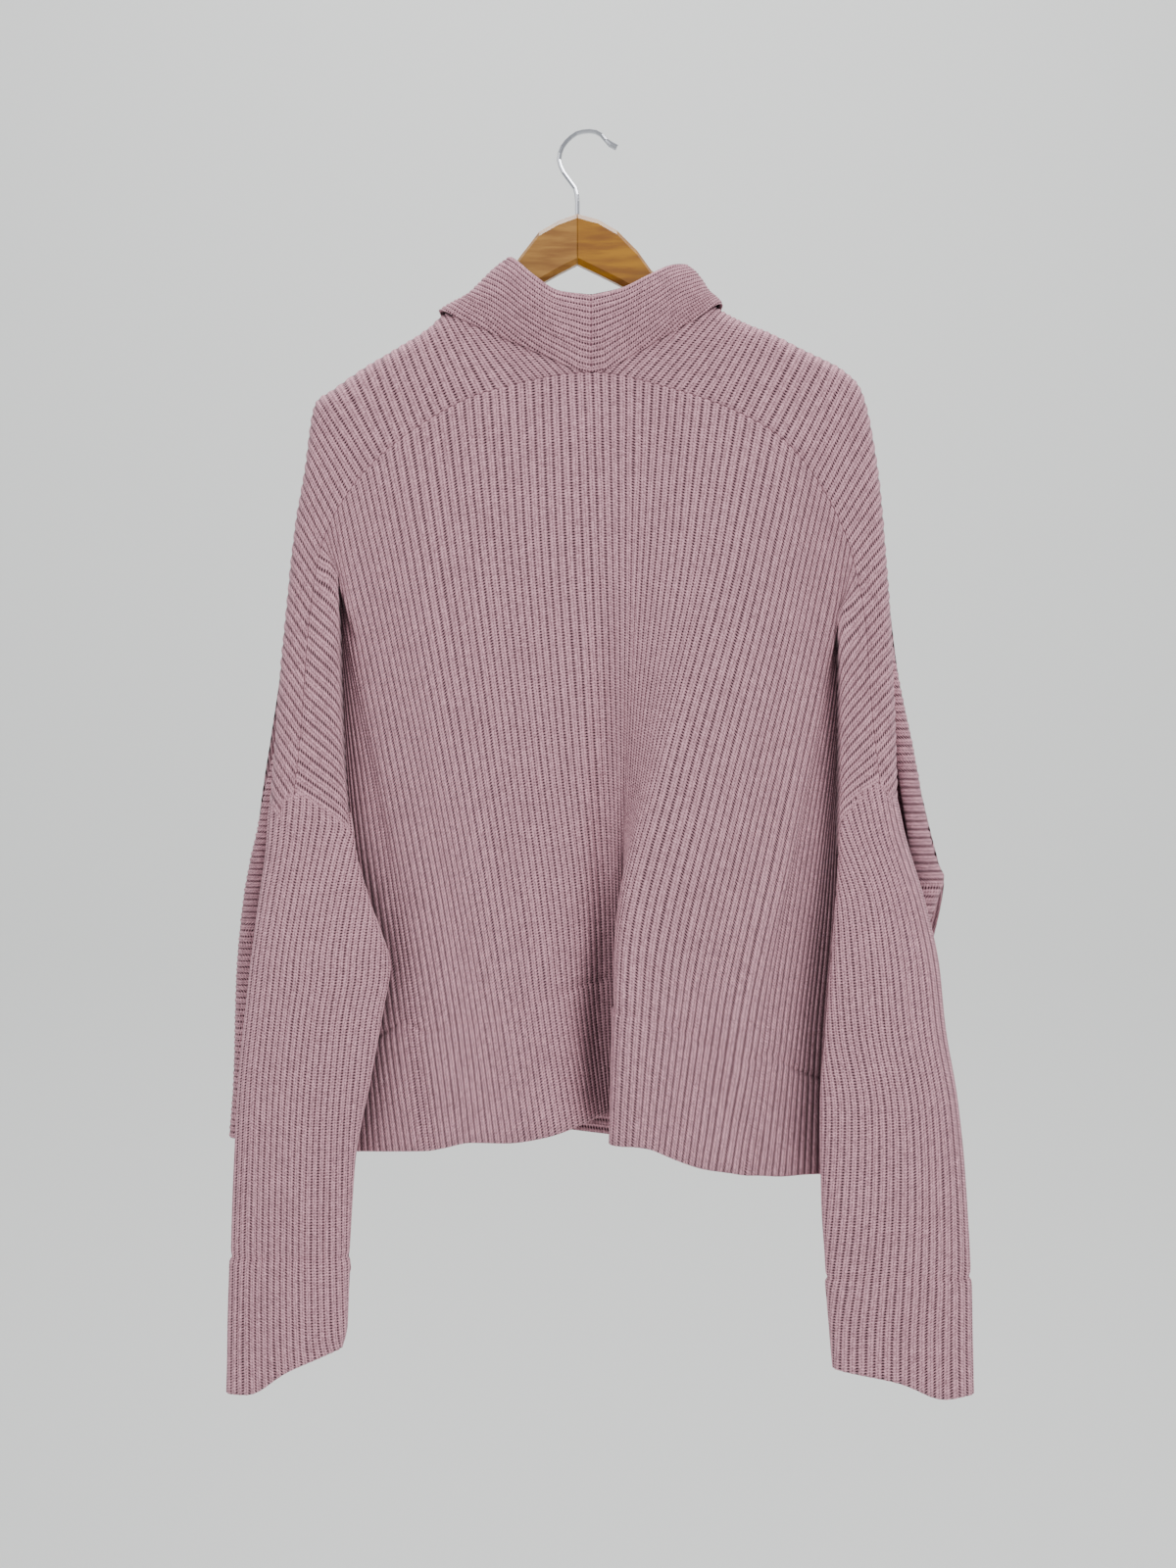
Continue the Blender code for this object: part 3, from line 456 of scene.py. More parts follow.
def seam_points(along, shift=0):
    """Points on the seam of the back and the fronts, or this far from it, away from the back."""
    x, z, y = read(SEAM, "along", along, "x", "z", "y").T
    ahead = read(SEAM, "along", np.asarray(along) + 2, "x", "z")
    behind = read(SEAM, "along", np.asarray(along) - 2, "x", "z")
    run = unit(ahead - behind)
    return np.stack([x - shift * run[:, 1], y, z + shift * run[:, 0]], 1)


def sideways(grid, ring):
    """Steps from column to column of a grid of points. A ring's columns join up."""
    return np.roll(grid, -1, 1) - np.roll(grid, 1, 1) if ring else np.gradient(grid, axis=1)


def normals(grid, ring=False):
    """Unit normals of a grid of points."""
    return unit(np.cross(sideways(grid, ring), np.gradient(grid, axis=0)))


# ---- Surfaces of the panels ----

def back_surface(ribs, rows):
    """Outside of the back. Its outer ribs cross the dropped shoulder, turn under, and hang behind."""
    lines = []
    for fold in BACK_FOLDS:
        start = seam_points([fold.seam], -SEAM_GAP)[0]
        lean = (1 - BACK_LEVELS) ** fold.lean
        lean[3] *= (2 + fold.pinch) / 3
        lean[4:] *= fold.pinch
        x = between((fold.hem_x, start[0]), lean)
        lower_y = fold.waist_y * (1 - TO_HEM) + fold.hem_y * TO_HEM
        y = np.array([start[1], fold.turn_y, fold.tuck_y, *lower_y])
        z = between((start[2], fold.hem_z), BACK_LEVELS)
        if fold.edge_x is not None:
            x[1:3] = fold.edge_x
            z[1:3] = fold.edge_z, fold.edge_z - TUCK_DROP
            z[3:6] = z[2] + (fold.hem_z - z[2]) * (BACK_LEVELS[3:6] - TUCK_PLACE) / (1 - TUCK_PLACE)
        if fold.rib in BACK_RIBS:
            side, inward = (RIGHT_SIDE, -1) if fold.rib > 0 else (LEFT_SIDE, 1)
            x[3:] = read(side, "z", z[3:], "seam_x")[:, 0] + inward * HEM_GAP
        lines.append(smooth(BACK_LEVELS, np.stack([x, y, z], 1), rows))
    grid = smooth([fold.rib for fold in BACK_FOLDS], lines, ribs).transpose(1, 0, 2)
    grid[0] = seam_points(read(BACK_FOLDS, "rib", ribs, "seam")[:, 0], -SEAM_GAP)
    return grid


def front_depth(x, z):
    """Depth of the inner front's outside: flat over the chest, with waves at the hem, less at the sides."""
    waves = HEM_WAVE * np.sin(x / WAVE_LONG + WAVE_PHASE) * eased((WAVE_TOP - z) / WAVE_FADE)
    chest = CHEST_Y + HEM_ADDS * eased((CHEST_TOP - z) / CHEST_FADE) + waves
    loose = eased((CHEST_TOP - z) / LOOSE_FADE)
    bend = (abs(x) - between(BEND_X, loose)) / between(BEND_LONG, loose)
    return SIDE_Y + (chest - SIDE_Y) * (1 - eased(bend))


def front_surface(shoulder, side, over, ribs, yoke_rows, turn_rows, chest_rows, curl_rows=()):
    """Outside of a front: from the curved seam over the shoulder, then down across the chest to the other
    side, where it turns back to the side seam. over is how far it lies outside the other front."""
    out_x, out_z, along, drop_x, drop_z = read(
        shoulder, "rib", ribs, "out_x", "out_z", "seam", "drop_x", "drop_z").T
    seam = seam_points(along, SEAM_GAP)
    beyond_hanger = eased((ribs - HANGER_END) / DROP_RIBS)
    top = np.stack([out_x, between((SHOULDER_Y, DROP_Y), beyond_hanger), out_z], 1)
    drop = np.stack([drop_x, 0 * drop_x, drop_z], 1)
    share = ribs / FRONT_RIBS
    ends = sorted(row.z for row in side)
    end_z = between((ends[-1], ends[0]), share)
    end_x, hidden_x = read(side, "z", end_z, "out_x", "seam_x").T
    end = np.stack([end_x, 0 * end_x, end_z], 1)
    rise = 0 if over else ARRIVE_HIGH * share ** 2
    fall = end_z + rise - drop_z
    below_x = between(BELOW_X, share) * drop_x
    below = np.stack([below_x, 0 * out_x, drop_z + between(BELOW_Z, share) * fall], 1)
    beside_x = between((drop_x, end_x), between(BESIDE_X, share))
    beside = np.stack([beside_x, 0 * out_x, drop_z + between(BESIDE_Z, share) * fall], 1)

    reach = np.linalg.norm((seam - top)[:, [0, 2]], axis=1)
    rounded = [math.sqrt(max(0.0, 1 - (1 - d / TURN_REACH) ** 2)) for d in turn_rows]
    limit = np.minimum(turn_rows[0], TURN_SHARE * reach)
    clear = (1 - limit / reach)[:, None]
    rows = [seam + share_down * clear * (top - seam) * NO_DEPTH for share_down in yoke_rows]
    for distance, round_share in zip(turn_rows, rounded):
        part = (distance / turn_rows[0] * limit / reach)[:, None]
        point = top + part * (seam - top) * NO_DEPTH
        point[:, 1] = between((top[:, 1], seam[:, 1] + TURN_SUNK), round_share)
        rows.append(point)
    start = unit((drop - top) * NO_DEPTH)
    for distance, round_share in list(zip(turn_rows, rounded))[-2::-1]:
        point = top + distance * start
        full = front_depth(point[:, 0], point[:, 2]) + over
        point[:, 1] = between((top[:, 1], full), round_share)
        rows.append(point)
    for t in chest_rows:
        point = ((1 - t) ** 3 * drop + 3 * (1 - t) ** 2 * t * below
                 + 3 * (1 - t) * t * t * beside + t ** 3 * end)
        point[:, 1] = front_depth(point[:, 0], point[:, 2]) + over
        rows.append(point)
    last = rows[-1]
    hidden = np.stack([hidden_x, np.full_like(hidden_x, SIDE_SEAM_Y), end_z], 1)
    for turned, deep in curl_rows:
        point = between((last, hidden), turned)
        point[:, 1] = between((last[:, 1], SIDE_SEAM_Y), deep)
        rows.append(point)
    return np.array(rows)


def sleeve_surface(rings, rows, columns):
    """Outside of a sleeve as rings that start at its outer edge and pass its back first. columns holds
    the places round the ring for each row."""
    table = smooth(np.linspace(0, 1, len(rings)), rings, rows)
    turn = np.linspace(0, 2 * math.pi, 721)  # every half degree
    deep = np.sign(np.sin(turn)) * abs(np.sin(turn)) ** FLATNESS * SECTION_DEEP
    travelled = lengths(np.stack([-np.cos(turn), deep], 1))
    grid = []
    for place, row, around in zip(rows, table, columns):
        angle = np.interp(around * travelled[-1], travelled, turn)
        inward = (1 - np.cos(angle)) / 2
        bulge = abs(np.sin(angle)) ** FLATNESS
        at_back = np.sin(angle) > 0
        ring = Ring(*row)
        front = between((ring.out_front_y, ring.in_front_y), inward)
        middle = (ring.back_y + front) / 2
        y = middle + np.where(at_back, ring.back_y - middle, front - middle) * bulge
        x = between((ring.out_x, ring.in_x), inward)
        z = between((ring.out_z, ring.in_z), inward)
        tent = np.minimum(inward / PEAK_PLACE, (1 - inward) / (1 - PEAK_PLACE))
        z = z + ring.peak * tent * at_back
        sagging = eased((place - CUFF_SAG_TOP) / (1 - CUFF_SAG_TOP))
        z = z - CUFF_SAG * sagging * np.exp(-(((inward - CUFF_SAG_PLACE) / CUFF_SAG_WIDE) ** 2))
        grid.append(np.stack([x, y, z], 1))
    return np.array(grid)


def neck_line(shoulder, side, over, places):
    """Where the collar's lower edge lies on the front: 0 at the nape, 1 over the shoulder, and 2 at the
    middle of the chest. The collar's lift pushes it out of the cloth."""
    ribs = np.array([0.0, COLLAR_OVERLAP, 2 * COLLAR_OVERLAP])
    grid = front_surface(shoulder, side, over, ribs, NECK_YOKE, NECK_TURN, NECK_CHEST)
    top = len(NECK_YOKE) + len(NECK_TURN) - 1
    steps = np.interp(np.arange(len(grid)), [0, top, LIFT_LAST], [0, 1, 2])
    lift = between(COLLAR_LIFT, np.sin(math.pi / 2 * steps))
    line = grid[:, 1] + facing(normals(grid), 0)[:, 1] * lift[:, None]
    beyond = line[:, 0] * math.copysign(1, shoulder[0].out_x) < COLLAR_END
    beyond[:top] = False
    line = line[: np.argmax(beyond) + 1]
    travelled = lengths(line)
    at = np.interp(places, [0, 1, 2], [0, travelled[top], travelled[-1]])
    return np.stack([np.interp(at, travelled, line[:, k]) for k in range(3)], 1)


def collar_surface(shoulder, side, over, rims, rows, columns):
    """Outside of half the collar: from its rolled lower edge to its free edge, with a swell between."""
    low = neck_line(shoulder, side, over, rows)
    x, z, y, swell = read(rims, "place", rows, "x", "z", "y", "swell").T
    rim = np.stack([x, y, z], 1)
    low[0, 0] = rim[0, 0] = math.copysign(CENTRE_GAP, shoulder[0].out_x)
    along = np.gradient(low + rim, axis=0)
    out = unit(np.cross(along, rim - low))
    if out[0, 1] > 0:
        out = -out
    out[0] = unit(out[0] * NO_SIDEWAYS)
    up = columns[..., None]
    flat = low[:, None] * (1 - up) + rim[:, None] * up
    slump = np.exp(-(((rows[:, None] - 1) / SLUMP_LONG) ** 2) - ((columns - SLUMP_PLACE) / SLUMP_WIDE) ** 2)
    flat[..., 2] -= SLUMP_DEEP * slump
    return flat + (out * swell[:, None])[:, None] * (4 * up * (1 - up)) ** COLLAR_ROUND


def facing(directions, row):
    """Normals turned so that those in this row face the back on the whole."""
    return -directions if directions[row, :, 1].mean() > 0 else directions


# ---- Walls of knit ----

def rib_shape(ribs):
    """Height of the cloth across its ribs: 0 in a furrow and 1 on a crest."""
    return np.abs(np.sin(np.pi * ribs)) ** RIB_ROUND


def drift(shape, seed, smoothing):
    """Slow random wander along the rows, about -1 to 1, one value for each rib."""
    raw = np.random.default_rng(seed).normal(size=shape)
    window = np.hanning(smoothing + 2)[1:-1]
    window /= np.sqrt((window ** 2).sum())
    return np.apply_along_axis(lambda line: np.convolve(line, window, mode="same"), 0, raw)


def sag(points):
    """Slow unevenness of hanging cloth, in depth. It is the same for every piece, so seams stay together."""
    x, z = points[..., 0], points[..., 2]
    deep = sum(size * np.sin(x / x_long + z / z_long + phase) for size, x_long, z_long, phase in SAG_WAVES)
    return deep * eased((SAG_TOP - z) / SAG_FADE)


def creases(points):
    """Depth of the narrow folds in the back, over its surface's own waves."""
    x, z = points[..., 0], points[..., 2]
    return sum(crease.deep * np.exp(-(((x - crease.x - crease.lean * (z - crease.top)) / crease.wide) ** 2))
               * eased((crease.top - z) / crease.fade) * (1 - eased((crease.bottom - z) / crease.fade))
               for crease in CREASES)


def stitch_rows(grid):
    """Stitches counted down each rib."""
    steps = np.linalg.norm(np.diff(grid, axis=0), axis=2)
    return np.concatenate([np.zeros((1, grid.shape[1])), np.cumsum(steps, axis=0)]) / STITCH


def quads(index, u, v):
    """Faces and their corner UVs from grids of vertex numbers and UV values."""
    corners = [(slice(None, -1), slice(None, -1)), (slice(None, -1), slice(1, None)),
               (slice(1, None), slice(1, None)), (slice(1, None), slice(None, -1))]
    faces = np.stack([index[c] for c in corners], -1).reshape(-1, 4)
    uvs = np.stack([np.stack([u[c], v[c]], -1) for c in corners], 2).reshape(-1, 4, 2)
    return faces, uvs


def knit_faces(name, grid, out, ribs, thick, ring):
    """Outside and inside of a wall of knit: round ribs, which stray and swell a little. The inside has
    its crests behind the outside's furrows."""
    rib_of = np.floor(ribs - ribs[0] + 1e-6).astype(int)
    shape = (len(grid), rib_of.max() + 1)
    wander = drift(shape, len(name) + int(abs(grid[0, 0, 0])), WANDER_ROWS)[:, rib_of]
    swell = 1 + SWELL * drift(shape, SWELL_SEED + int(abs(grid[-1, 0, 0])), SWELL_ROWS)[:, rib_of]
    crest = rib_shape(ribs)[None, :]
    middle = grid.copy()
    middle[..., 1] += sag(grid)
    middle += unit(sideways(grid, ring)) * (WANDER * wander * crest)[..., None]
    outer = middle + out * (RIB_HEIGHT * crest * swell)[..., None]
    inner = middle - out * (thick + RIB_HEIGHT * (1 - crest) * swell)[..., None]
    return outer, inner


def soft_rim(grid, outer, inner, row, next_row):
    """Points that round off the wall's first or last row."""
    return (outer[row] + inner[row]) / 2 + EDGE_ROUND * unit(grid[row] - grid[next_row])


def cloth(name, grid, out, ribs, thick, ring=False):
    """A closed wall of knit. grid is its outside at the furrows, with a row for each level and a column
    for each place in ribs."""
    outer, inner = knit_faces(name, grid, out, ribs, thick, ring)
    points = np.concatenate([outer.reshape(-1, 3), inner.reshape(-1, 3),
                             soft_rim(grid, outer, inner, 0, 1), soft_rim(grid, outer, inner, -1, -2)])
    rows, columns = grid.shape[:2]
    # vertex numbers
    outside = np.arange(rows * columns).reshape(rows, columns)
    inside = outside + rows * columns
    top = 2 * rows * columns + np.arange(columns)
    bottom = top + columns
    u = np.broadcast_to(ribs, (rows, columns))
    v = stitch_rows(grid)
    if ring:
        outside, inside, top, bottom, v = (
            np.concatenate([a, a[..., :1]], -1) for a in (outside, inside, top, bottom, v))
        u = np.concatenate([u, u[:, :1] + round(ribs[-1])], 1)
    rim_stitches = np.array([[0], [0.5], [1]])
    first_rim, last_rim = np.stack([inside[0], top, outside[0]]), np.stack([outside[-1], bottom, inside[-1]])
    parts = [
        quads(outside, u, v),
        quads(inside[::-1], u[::-1] + 0.5, v[::-1]),
        quads(first_rim, np.stack([u[0]] * 3), v[0] - 1 + rim_stitches),
        quads(last_rim, np.stack([u[-1]] * 3), v[-1] + rim_stitches),
    ]
    tris, tri_uvs = [], []
    if not ring:
        for side, edges in ((0, (outside, inside)), (-1, (inside, outside))):
            edge = np.stack([numbers[:, side] for numbers in edges])
            parts.append(quads(edge, np.stack([u[:, side]] * 2), np.stack([v[:, side]] * 2)))
            for row, rim in ((0, top), (-1, bottom)):
                corner = [inside[row, side], rim[side], outside[row, side]]
                tris.append(corner if side == row else corner[::-1])
                tri_uvs.append([(u[row, side], v[row, side])] * 3)
    faces, uvs = (np.concatenate(arrays) for arrays in zip(*parts))
    volume = np.linalg.det(points[faces[:, :3]]).sum() + np.linalg.det(points[faces[:, [0, 2, 3]]]).sum()
    if volume < 0:
        faces, uvs = faces[:, ::-1], uvs[:, ::-1]
        tris = [corner[::-1] for corner in tris]
    return mesh_object(name, points, faces, uvs, tris, tri_uvs)


def mesh_object(name, points, faces, uvs, tris=(), tri_uvs=()):
    """A smooth-shaded object from points in millimetres, four-sided faces and perhaps some triangles."""
    mesh = bpy.data.meshes.new(name)
    corners = faces.tolist() + [[int(corner) for corner in tri] for tri in tris]
    mesh.from_pydata((np.asarray(points) * MM).tolist(), [], corners)
    layer = mesh.uv_layers.new(name="knit")
    flat = np.concatenate([uvs.reshape(-1), np.array(tri_uvs, float).reshape(-1)])
    layer.data.foreach_set("uv", flat.astype(np.float32))
    mesh.polygons.foreach_set("use_smooth", np.ones(len(mesh.polygons), bool))
    mesh.update()
    made = bpy.data.objects.new(name, mesh)
    bpy.context.scene.collection.objects.link(made)
    return made


def sewing(name, line):
    """A thread along a line of points, with its length in millimetres as a UV."""
    along = unit(np.gradient(line, axis=0))
    side = unit(np.cross(along, np.array([0.0, 1.0, 0.001])))
    up = np.cross(side, along)
    angle = np.linspace(0, 2 * np.pi, THREAD_SIDES, endpoint=False)[:, None]
    ring = line[:, None] + SEAM_THREAD * (side[:, None] * np.cos(angle) + up[:, None] * np.sin(angle))
    index = np.arange(len(line) * THREAD_SIDES).reshape(-1, THREAD_SIDES)
    index = np.concatenate([index, index[:, :1]], 1)
    u = np.broadcast_to(np.linspace(0, 1, THREAD_SIDES + 1), index.shape)
    v = np.broadcast_to(lengths(line)[:, None], index.shape)
    return mesh_object(name, ring.reshape(-1, 3), *quads(index, u, v))


# ---- Materials ----

def painted(name, surface):
    """A material with these settings on its Principled BSDF."""
    material = bpy.data.materials.new(name)
    material.use_nodes = True
    for socket, value in surface.items():
        material.node_tree.nodes["Principled BSDF"].inputs[socket].default_value = value
    return material


class Maths:
    """Builds Math nodes in a tree."""

    def __init__(self, tree):
        self.tree = tree

    def __call__(self, operation, *inputs, clamp=False):
        node = self.tree.nodes.new("ShaderNodeMath")
        node.operation = operation
        node.use_clamp = clamp
        for socket, value in zip(node.inputs, inputs):
            if isinstance(value, (int, float)):
                socket.default_value = value
            else:
                self.tree.links.new(value, socket)
        return node.outputs[0]

    def spread(self, value, tones):
        """A value from 0 to 1, taken to this range."""
        low, high = tones
        return self("MULTIPLY_ADD", value, high - low, low)


def mix_colour(tree, share, a, b):
    """One colour over another; the Mix node's colour sockets are its inputs 6 and 7 and its output 2."""
    node = tree.nodes.new("ShaderNodeMix")
    node.data_type = "RGBA"
    node.inputs[6].default_value = (*a, 1)
    node.inputs[7].default_value = (*b, 1)
    tree.links.new(share, node.inputs[0])
    return node.outputs[2]


def ramp(tree, share, stops):
    """A curve through (place, value) stops, where a value is a brightness or a colour."""
    node = tree.nodes.new("ShaderNodeValToRGB")
    node.color_ramp.interpolation = "EASE"
    elements = node.color_ramp.elements
    while len(elements) < len(stops):
        elements.new(0.5)
    for element, (place, value) in zip(elements, stops):
        element.position = place
        element.color = (value, value, value, 1) if isinstance(value, (int, float)) else (*value, 1)
    tree.links.new(share, node.inputs["Fac"])
    return node.outputs["Color"]


def noise(tree, place, scale, detail):
    """Soft noise from 0 to 1."""
    node = tree.nodes.new("ShaderNodeTexNoise")
    node.inputs["Scale"].default_value = scale
    node.inputs["Detail"].default_value = detail
    tree.links.new(place, node.inputs["Vector"])
    return node.outputs["Fac"]


def single_stitches(tree, calc, rib, stitch):
    """A random value from 0 to 1 for each stitch on each side of a rib."""
    cell = tree.nodes.new("ShaderNodeCombineXYZ")
    tree.links.new(calc("FLOOR", calc("MULTIPLY", rib, 2)), cell.inputs["X"])
    tree.links.new(calc("FLOOR", stitch), cell.inputs["Y"])
    chance = tree.nodes.new("ShaderNodeTexWhiteNoise")
    tree.links.new(cell.outputs[0], chance.inputs["Vector"])
    return chance.outputs["Value"]


def dots(calc, stitch, off_crest, shift, curve, wide, middle):
    """Dark places one stitch apart along a line of the rib, from 0 to 1. middle says where the line
    lies, from 0 on the crest to 1 in the furrow."""
    wave = calc("MULTIPLY_ADD", off_crest, curve, calc("ADD", stitch, shift))
    wave = calc("MULTIPLY_ADD", calc("SINE", calc("MULTIPLY", wave, 2 * math.pi)), 0.5, 0.5)
    beside = calc("DIVIDE", calc("SUBTRACT", calc("MULTIPLY", off_crest, 2), middle), wide)
    return calc("MULTIPLY", wave, calc("EXPONENT", calc("MULTIPLY", calc("MULTIPLY", beside, beside), -1.0)))


def open_sky(tree):
    """How open a point is to light past the cloth around it, from 0 to 1. It drives the painted shade in
    creases.
    """
    node = tree.nodes.new("ShaderNodeAmbientOcclusion")
    node.inputs["Distance"].default_value = DEEP_REACH
    node.samples = DEEP_SAMPLES
    return node.outputs["AO"]


def knit_material():
    """Ribs of knit stitches, whose relief has painted shade: slanting legs and small gaps on each crest,
    dark gaps in each furrow, a darker furrow, and darker creases where nearby cloth hides the light.
    Stitches, fibres and patches also vary in tone at random.
    """
    material = painted("knit", KNIT_SURFACE)
    tree = material.node_tree
    calc = Maths(tree)
    uv = tree.nodes.new("ShaderNodeUVMap")
    uv.uv_map = "knit"
    split = tree.nodes.new("ShaderNodeSeparateXYZ")
    tree.links.new(uv.outputs["UV"], split.inputs[0])
    rib, stitch = split.outputs["X"], split.outputs["Y"]
    place = tree.nodes.new("ShaderNodeTexCoord").outputs["Object"]
    fuzz = noise(tree, place, FUZZ_SCALE, 3)
    patch = noise(tree, place, PATCH_SCALE, 3)

    off_crest = calc("ABSOLUTE", calc("SUBTRACT", calc("FRACT", rib), 0.5))  # to 0.5 in the furrow
    depth = calc("MULTIPLY", off_crest, 2)
    gap = dots(calc, stitch, off_crest, 0.0, GAP_CURVE, GAP_WIDE, 1.0)
    crest = dots(calc, stitch, off_crest, 0.5, 0.0, CREST_WIDE, 0.0)
    slope = calc("ADD", stitch, calc("MULTIPLY", off_crest, LEG_SLOPE))
    legs = calc("SINE", calc("MULTIPLY", slope, 2 * math.pi))
    outside_furrow = calc("SUBTRACT", 1.0, ramp(tree, depth, FURROW))
    legs = calc("MULTIPLY", calc("MULTIPLY_ADD", legs, 0.5, 0.5), outside_furrow)

    # painted shade of the knit's relief: darker towards each furrow, in the gaps between stitches and along
    # the legs
    shade = ramp(tree, depth, ACROSS_RIB)
    for mark, dark in ((gap, GAP_SHADE), (crest, CREST_SHADE), (legs, LEG_SHADE)):
        shade = calc("SUBTRACT", shade, calc("MULTIPLY", mark, dark))
    chance = single_stitches(tree, calc, rib, stitch)
    for value, tones in ((chance, STITCH_TONES), (fuzz, FUZZ_TONES), (patch, PATCH_TONES)):
        shade = calc("MULTIPLY", shade, calc.spread(value, tones))
    # painted shade in creases and recesses, from ambient occlusion
    shade = calc("MULTIPLY", shade, ramp(tree, open_sky(tree), DEEP_SHADE), clamp=True)

    height = calc("ADD", calc("MULTIPLY", legs, -DENTS["legs"]), calc("MULTIPLY", fuzz, DENTS["fuzz"]))
    height = calc("SUBTRACT", height, calc("MULTIPLY", calc("ADD", gap, crest), DENTS["gaps"]))
    bump = tree.nodes.new("ShaderNodeBump")
    bump.inputs["Strength"].default_value = BUMP_STRENGTH
    bump.inputs["Distance"].default_value = BUMP_DEEP
    tree.links.new(height, bump.inputs["Height"])
    principled = tree.nodes["Principled BSDF"]
    # the yarn's colour in full light, taken towards near-black where shade is painted
    tree.links.new(mix_colour(tree, shade, YARN_SHADED, YARN_LIGHT), principled.inputs["Base Color"])
    tree.links.new(bump.outputs["Normal"], principled.inputs["Normal"])
    return material


def wood_material(name, grain_colours):
    """Varnished wood whose grain runs along X."""
    material = painted(name, WOOD_SURFACE)
    tree = material.node_tree
    place = tree.nodes.new("ShaderNodeTexCoord")
    stretch = tree.nodes.new("ShaderNodeMapping")
    stretch.inputs["Scale"].default_value = GRAIN_STRETCH
    tree.links.new(place.outputs["Object"], stretch.inputs["Vector"])
    grain = noise(tree, stretch.outputs["Vector"], GRAIN_SCALE, GRAIN_DETAIL)
    colour = ramp(tree, grain, grain_colours)
    tree.links.new(colour, tree.nodes["Principled BSDF"].inputs["Base Color"])
    return material


def wear(made, material, node):
    """Gives an object its material and its body, and hides the CAD piece that it replaces."""
    made.data.materials.clear()
    made.data.materials.append(material)
    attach(made, "root")
    if node:
        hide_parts(node)


# ---- Pieces ----

def fine(first, last, per_rib=RIB_COLUMNS):
    """Column places from one rib to another."""
    return np.linspace(first, last, round((last - first) * per_rib) + 1)


def spaced_rows(places, counts):
    """Row places from the first of these to the last, with so many steps between each two."""
    rows = [np.linspace(start, end, count, endpoint=False)
            for start, end, count in zip(places, places[1:], counts)]
    return np.concatenate([*rows, places[-1:]])


def at_rows(pairs, rows):
    """Values at these rows, from (place, value) pairs."""
    places, values = zip(*pairs)
    return smooth(places, np.array(values)[:, None], rows)


def hem_thickness(levels, line):
    """The wall's thickness and how far its outside stands out, over a turned-up hem with a stitched line."""
    inside = eased((levels - line) / STEP_LONG)
    groove = np.exp(-(((levels - line) / GROOVE_LONG) ** 2))
    return CLOTH + HEM_IN * inside, HEM_OUT * inside - GROOVE_DEEP * groove


def make_back(knit):
    """The back panel, with its turned-up hem and its pressed folds."""
    ribs = fine(*BACK_RIBS)
    rows = spaced_rows(*BACK_ROWS)
    grid = back_surface(ribs, rows)
    out = facing(normals(grid), -1)
    thick, proud = hem_thickness(rows, HEM_LINE)
    grid = grid + out * proud[:, None, None]
    grid[..., 1] += creases(grid)
    made = cloth("back_cloth", grid, out, ribs, (thick + proud)[:, None])
    wear(made, knit, "back")


def make_front(name, knit, shoulder, side, over):
    """A front, from the curved seam over its shoulder to the other side's seam."""
    ribs = fine(0, FRONT_RIBS)
    grid = front_surface(shoulder, side, over, ribs, YOKE_ROWS, TURN_ROWS, CHEST_ROWS, CURL_ROWS)
    out = facing(normals(grid), 0)
    made = cloth(name + "_cloth", grid, out, ribs, np.full((len(grid), 1), CLOTH))
    wear(made, knit, name)


def make_sleeve(name, knit, rings, counts):
    """A tube whose ribs keep their distance from its outer edge, so that some end at the inner one."""
    half = math.ceil(max(count for _, count in counts))
    ribs = np.arange(2 * half * RIB_COLUMNS) / RIB_COLUMNS
    rows = spaced_rows(*SLEEVE_ROWS)
    shown = at_rows(counts, rows)
    at_back = np.minimum(ribs / shown, 1) / 2
    at_front = 1 - np.minimum((2 * half - ribs) / shown, 1) / 2
    grid = sleeve_surface(rings, rows, np.where(ribs < half, at_back, at_front))
    out = normals(grid, ring=True)
    if (out * (grid - grid.mean(1, keepdims=True))).sum() < 0:
        out = -out
    thick, proud = hem_thickness(rows, CUFF_LINE)
    grid = grid + out * proud[:, None, None]
    made = cloth(name + "_cloth", grid, out, ribs, (thick + proud)[:, None], ring=True)
    wear(made, knit, name)


def make_collar(name, knit, shoulder, side, over, rims):
    """Half the collar, whose ribs run along it."""
    ribs = fine(-COLLAR_GAIN[-1][1], COLLAR_RIBS, COLLAR_COLUMNS)
    rows = spaced_rows(*COLLAR_ROWS)
    lowest = -at_rows(COLLAR_GAIN, rows)
    shares = np.maximum((ribs - lowest) / (COLLAR_RIBS - lowest), 0)
    grid = collar_surface(shoulder, side, over, rims, rows, shares)
    out = facing(normals(grid), 0)
    out[0] = unit(out[0] * NO_SIDEWAYS)
    made = cloth(name + "_cloth", grid, out, ribs, np.full((len(grid), 1), CLOTH))
    wear(made, knit, name)


def seams(thread):
    """The sunk lines of sewing: the curved seam, and the collar's at the nape."""
    curve = seam_points(np.linspace(*SEWN, SEWN_POINTS))
    curve[:, 1] += sag(curve) + SEAM_SUNK
    up_nape = np.tile(np.linspace(0, 1, NAPE_POINTS), (2, 1))
    nape = collar_surface(LEFT_FOLD, RIGHT_SIDE, 0, LEFT_RIM, np.array([0, 0.01]), up_nape)[0]
    nape[:, 0] = 0
    nape[:, 1] += sag(nape) + NAPE_SUNK
    for name, line in (("curved_seam", curve), ("nape_seam", nape)):
        wear(sewing(name, line), thread, None)


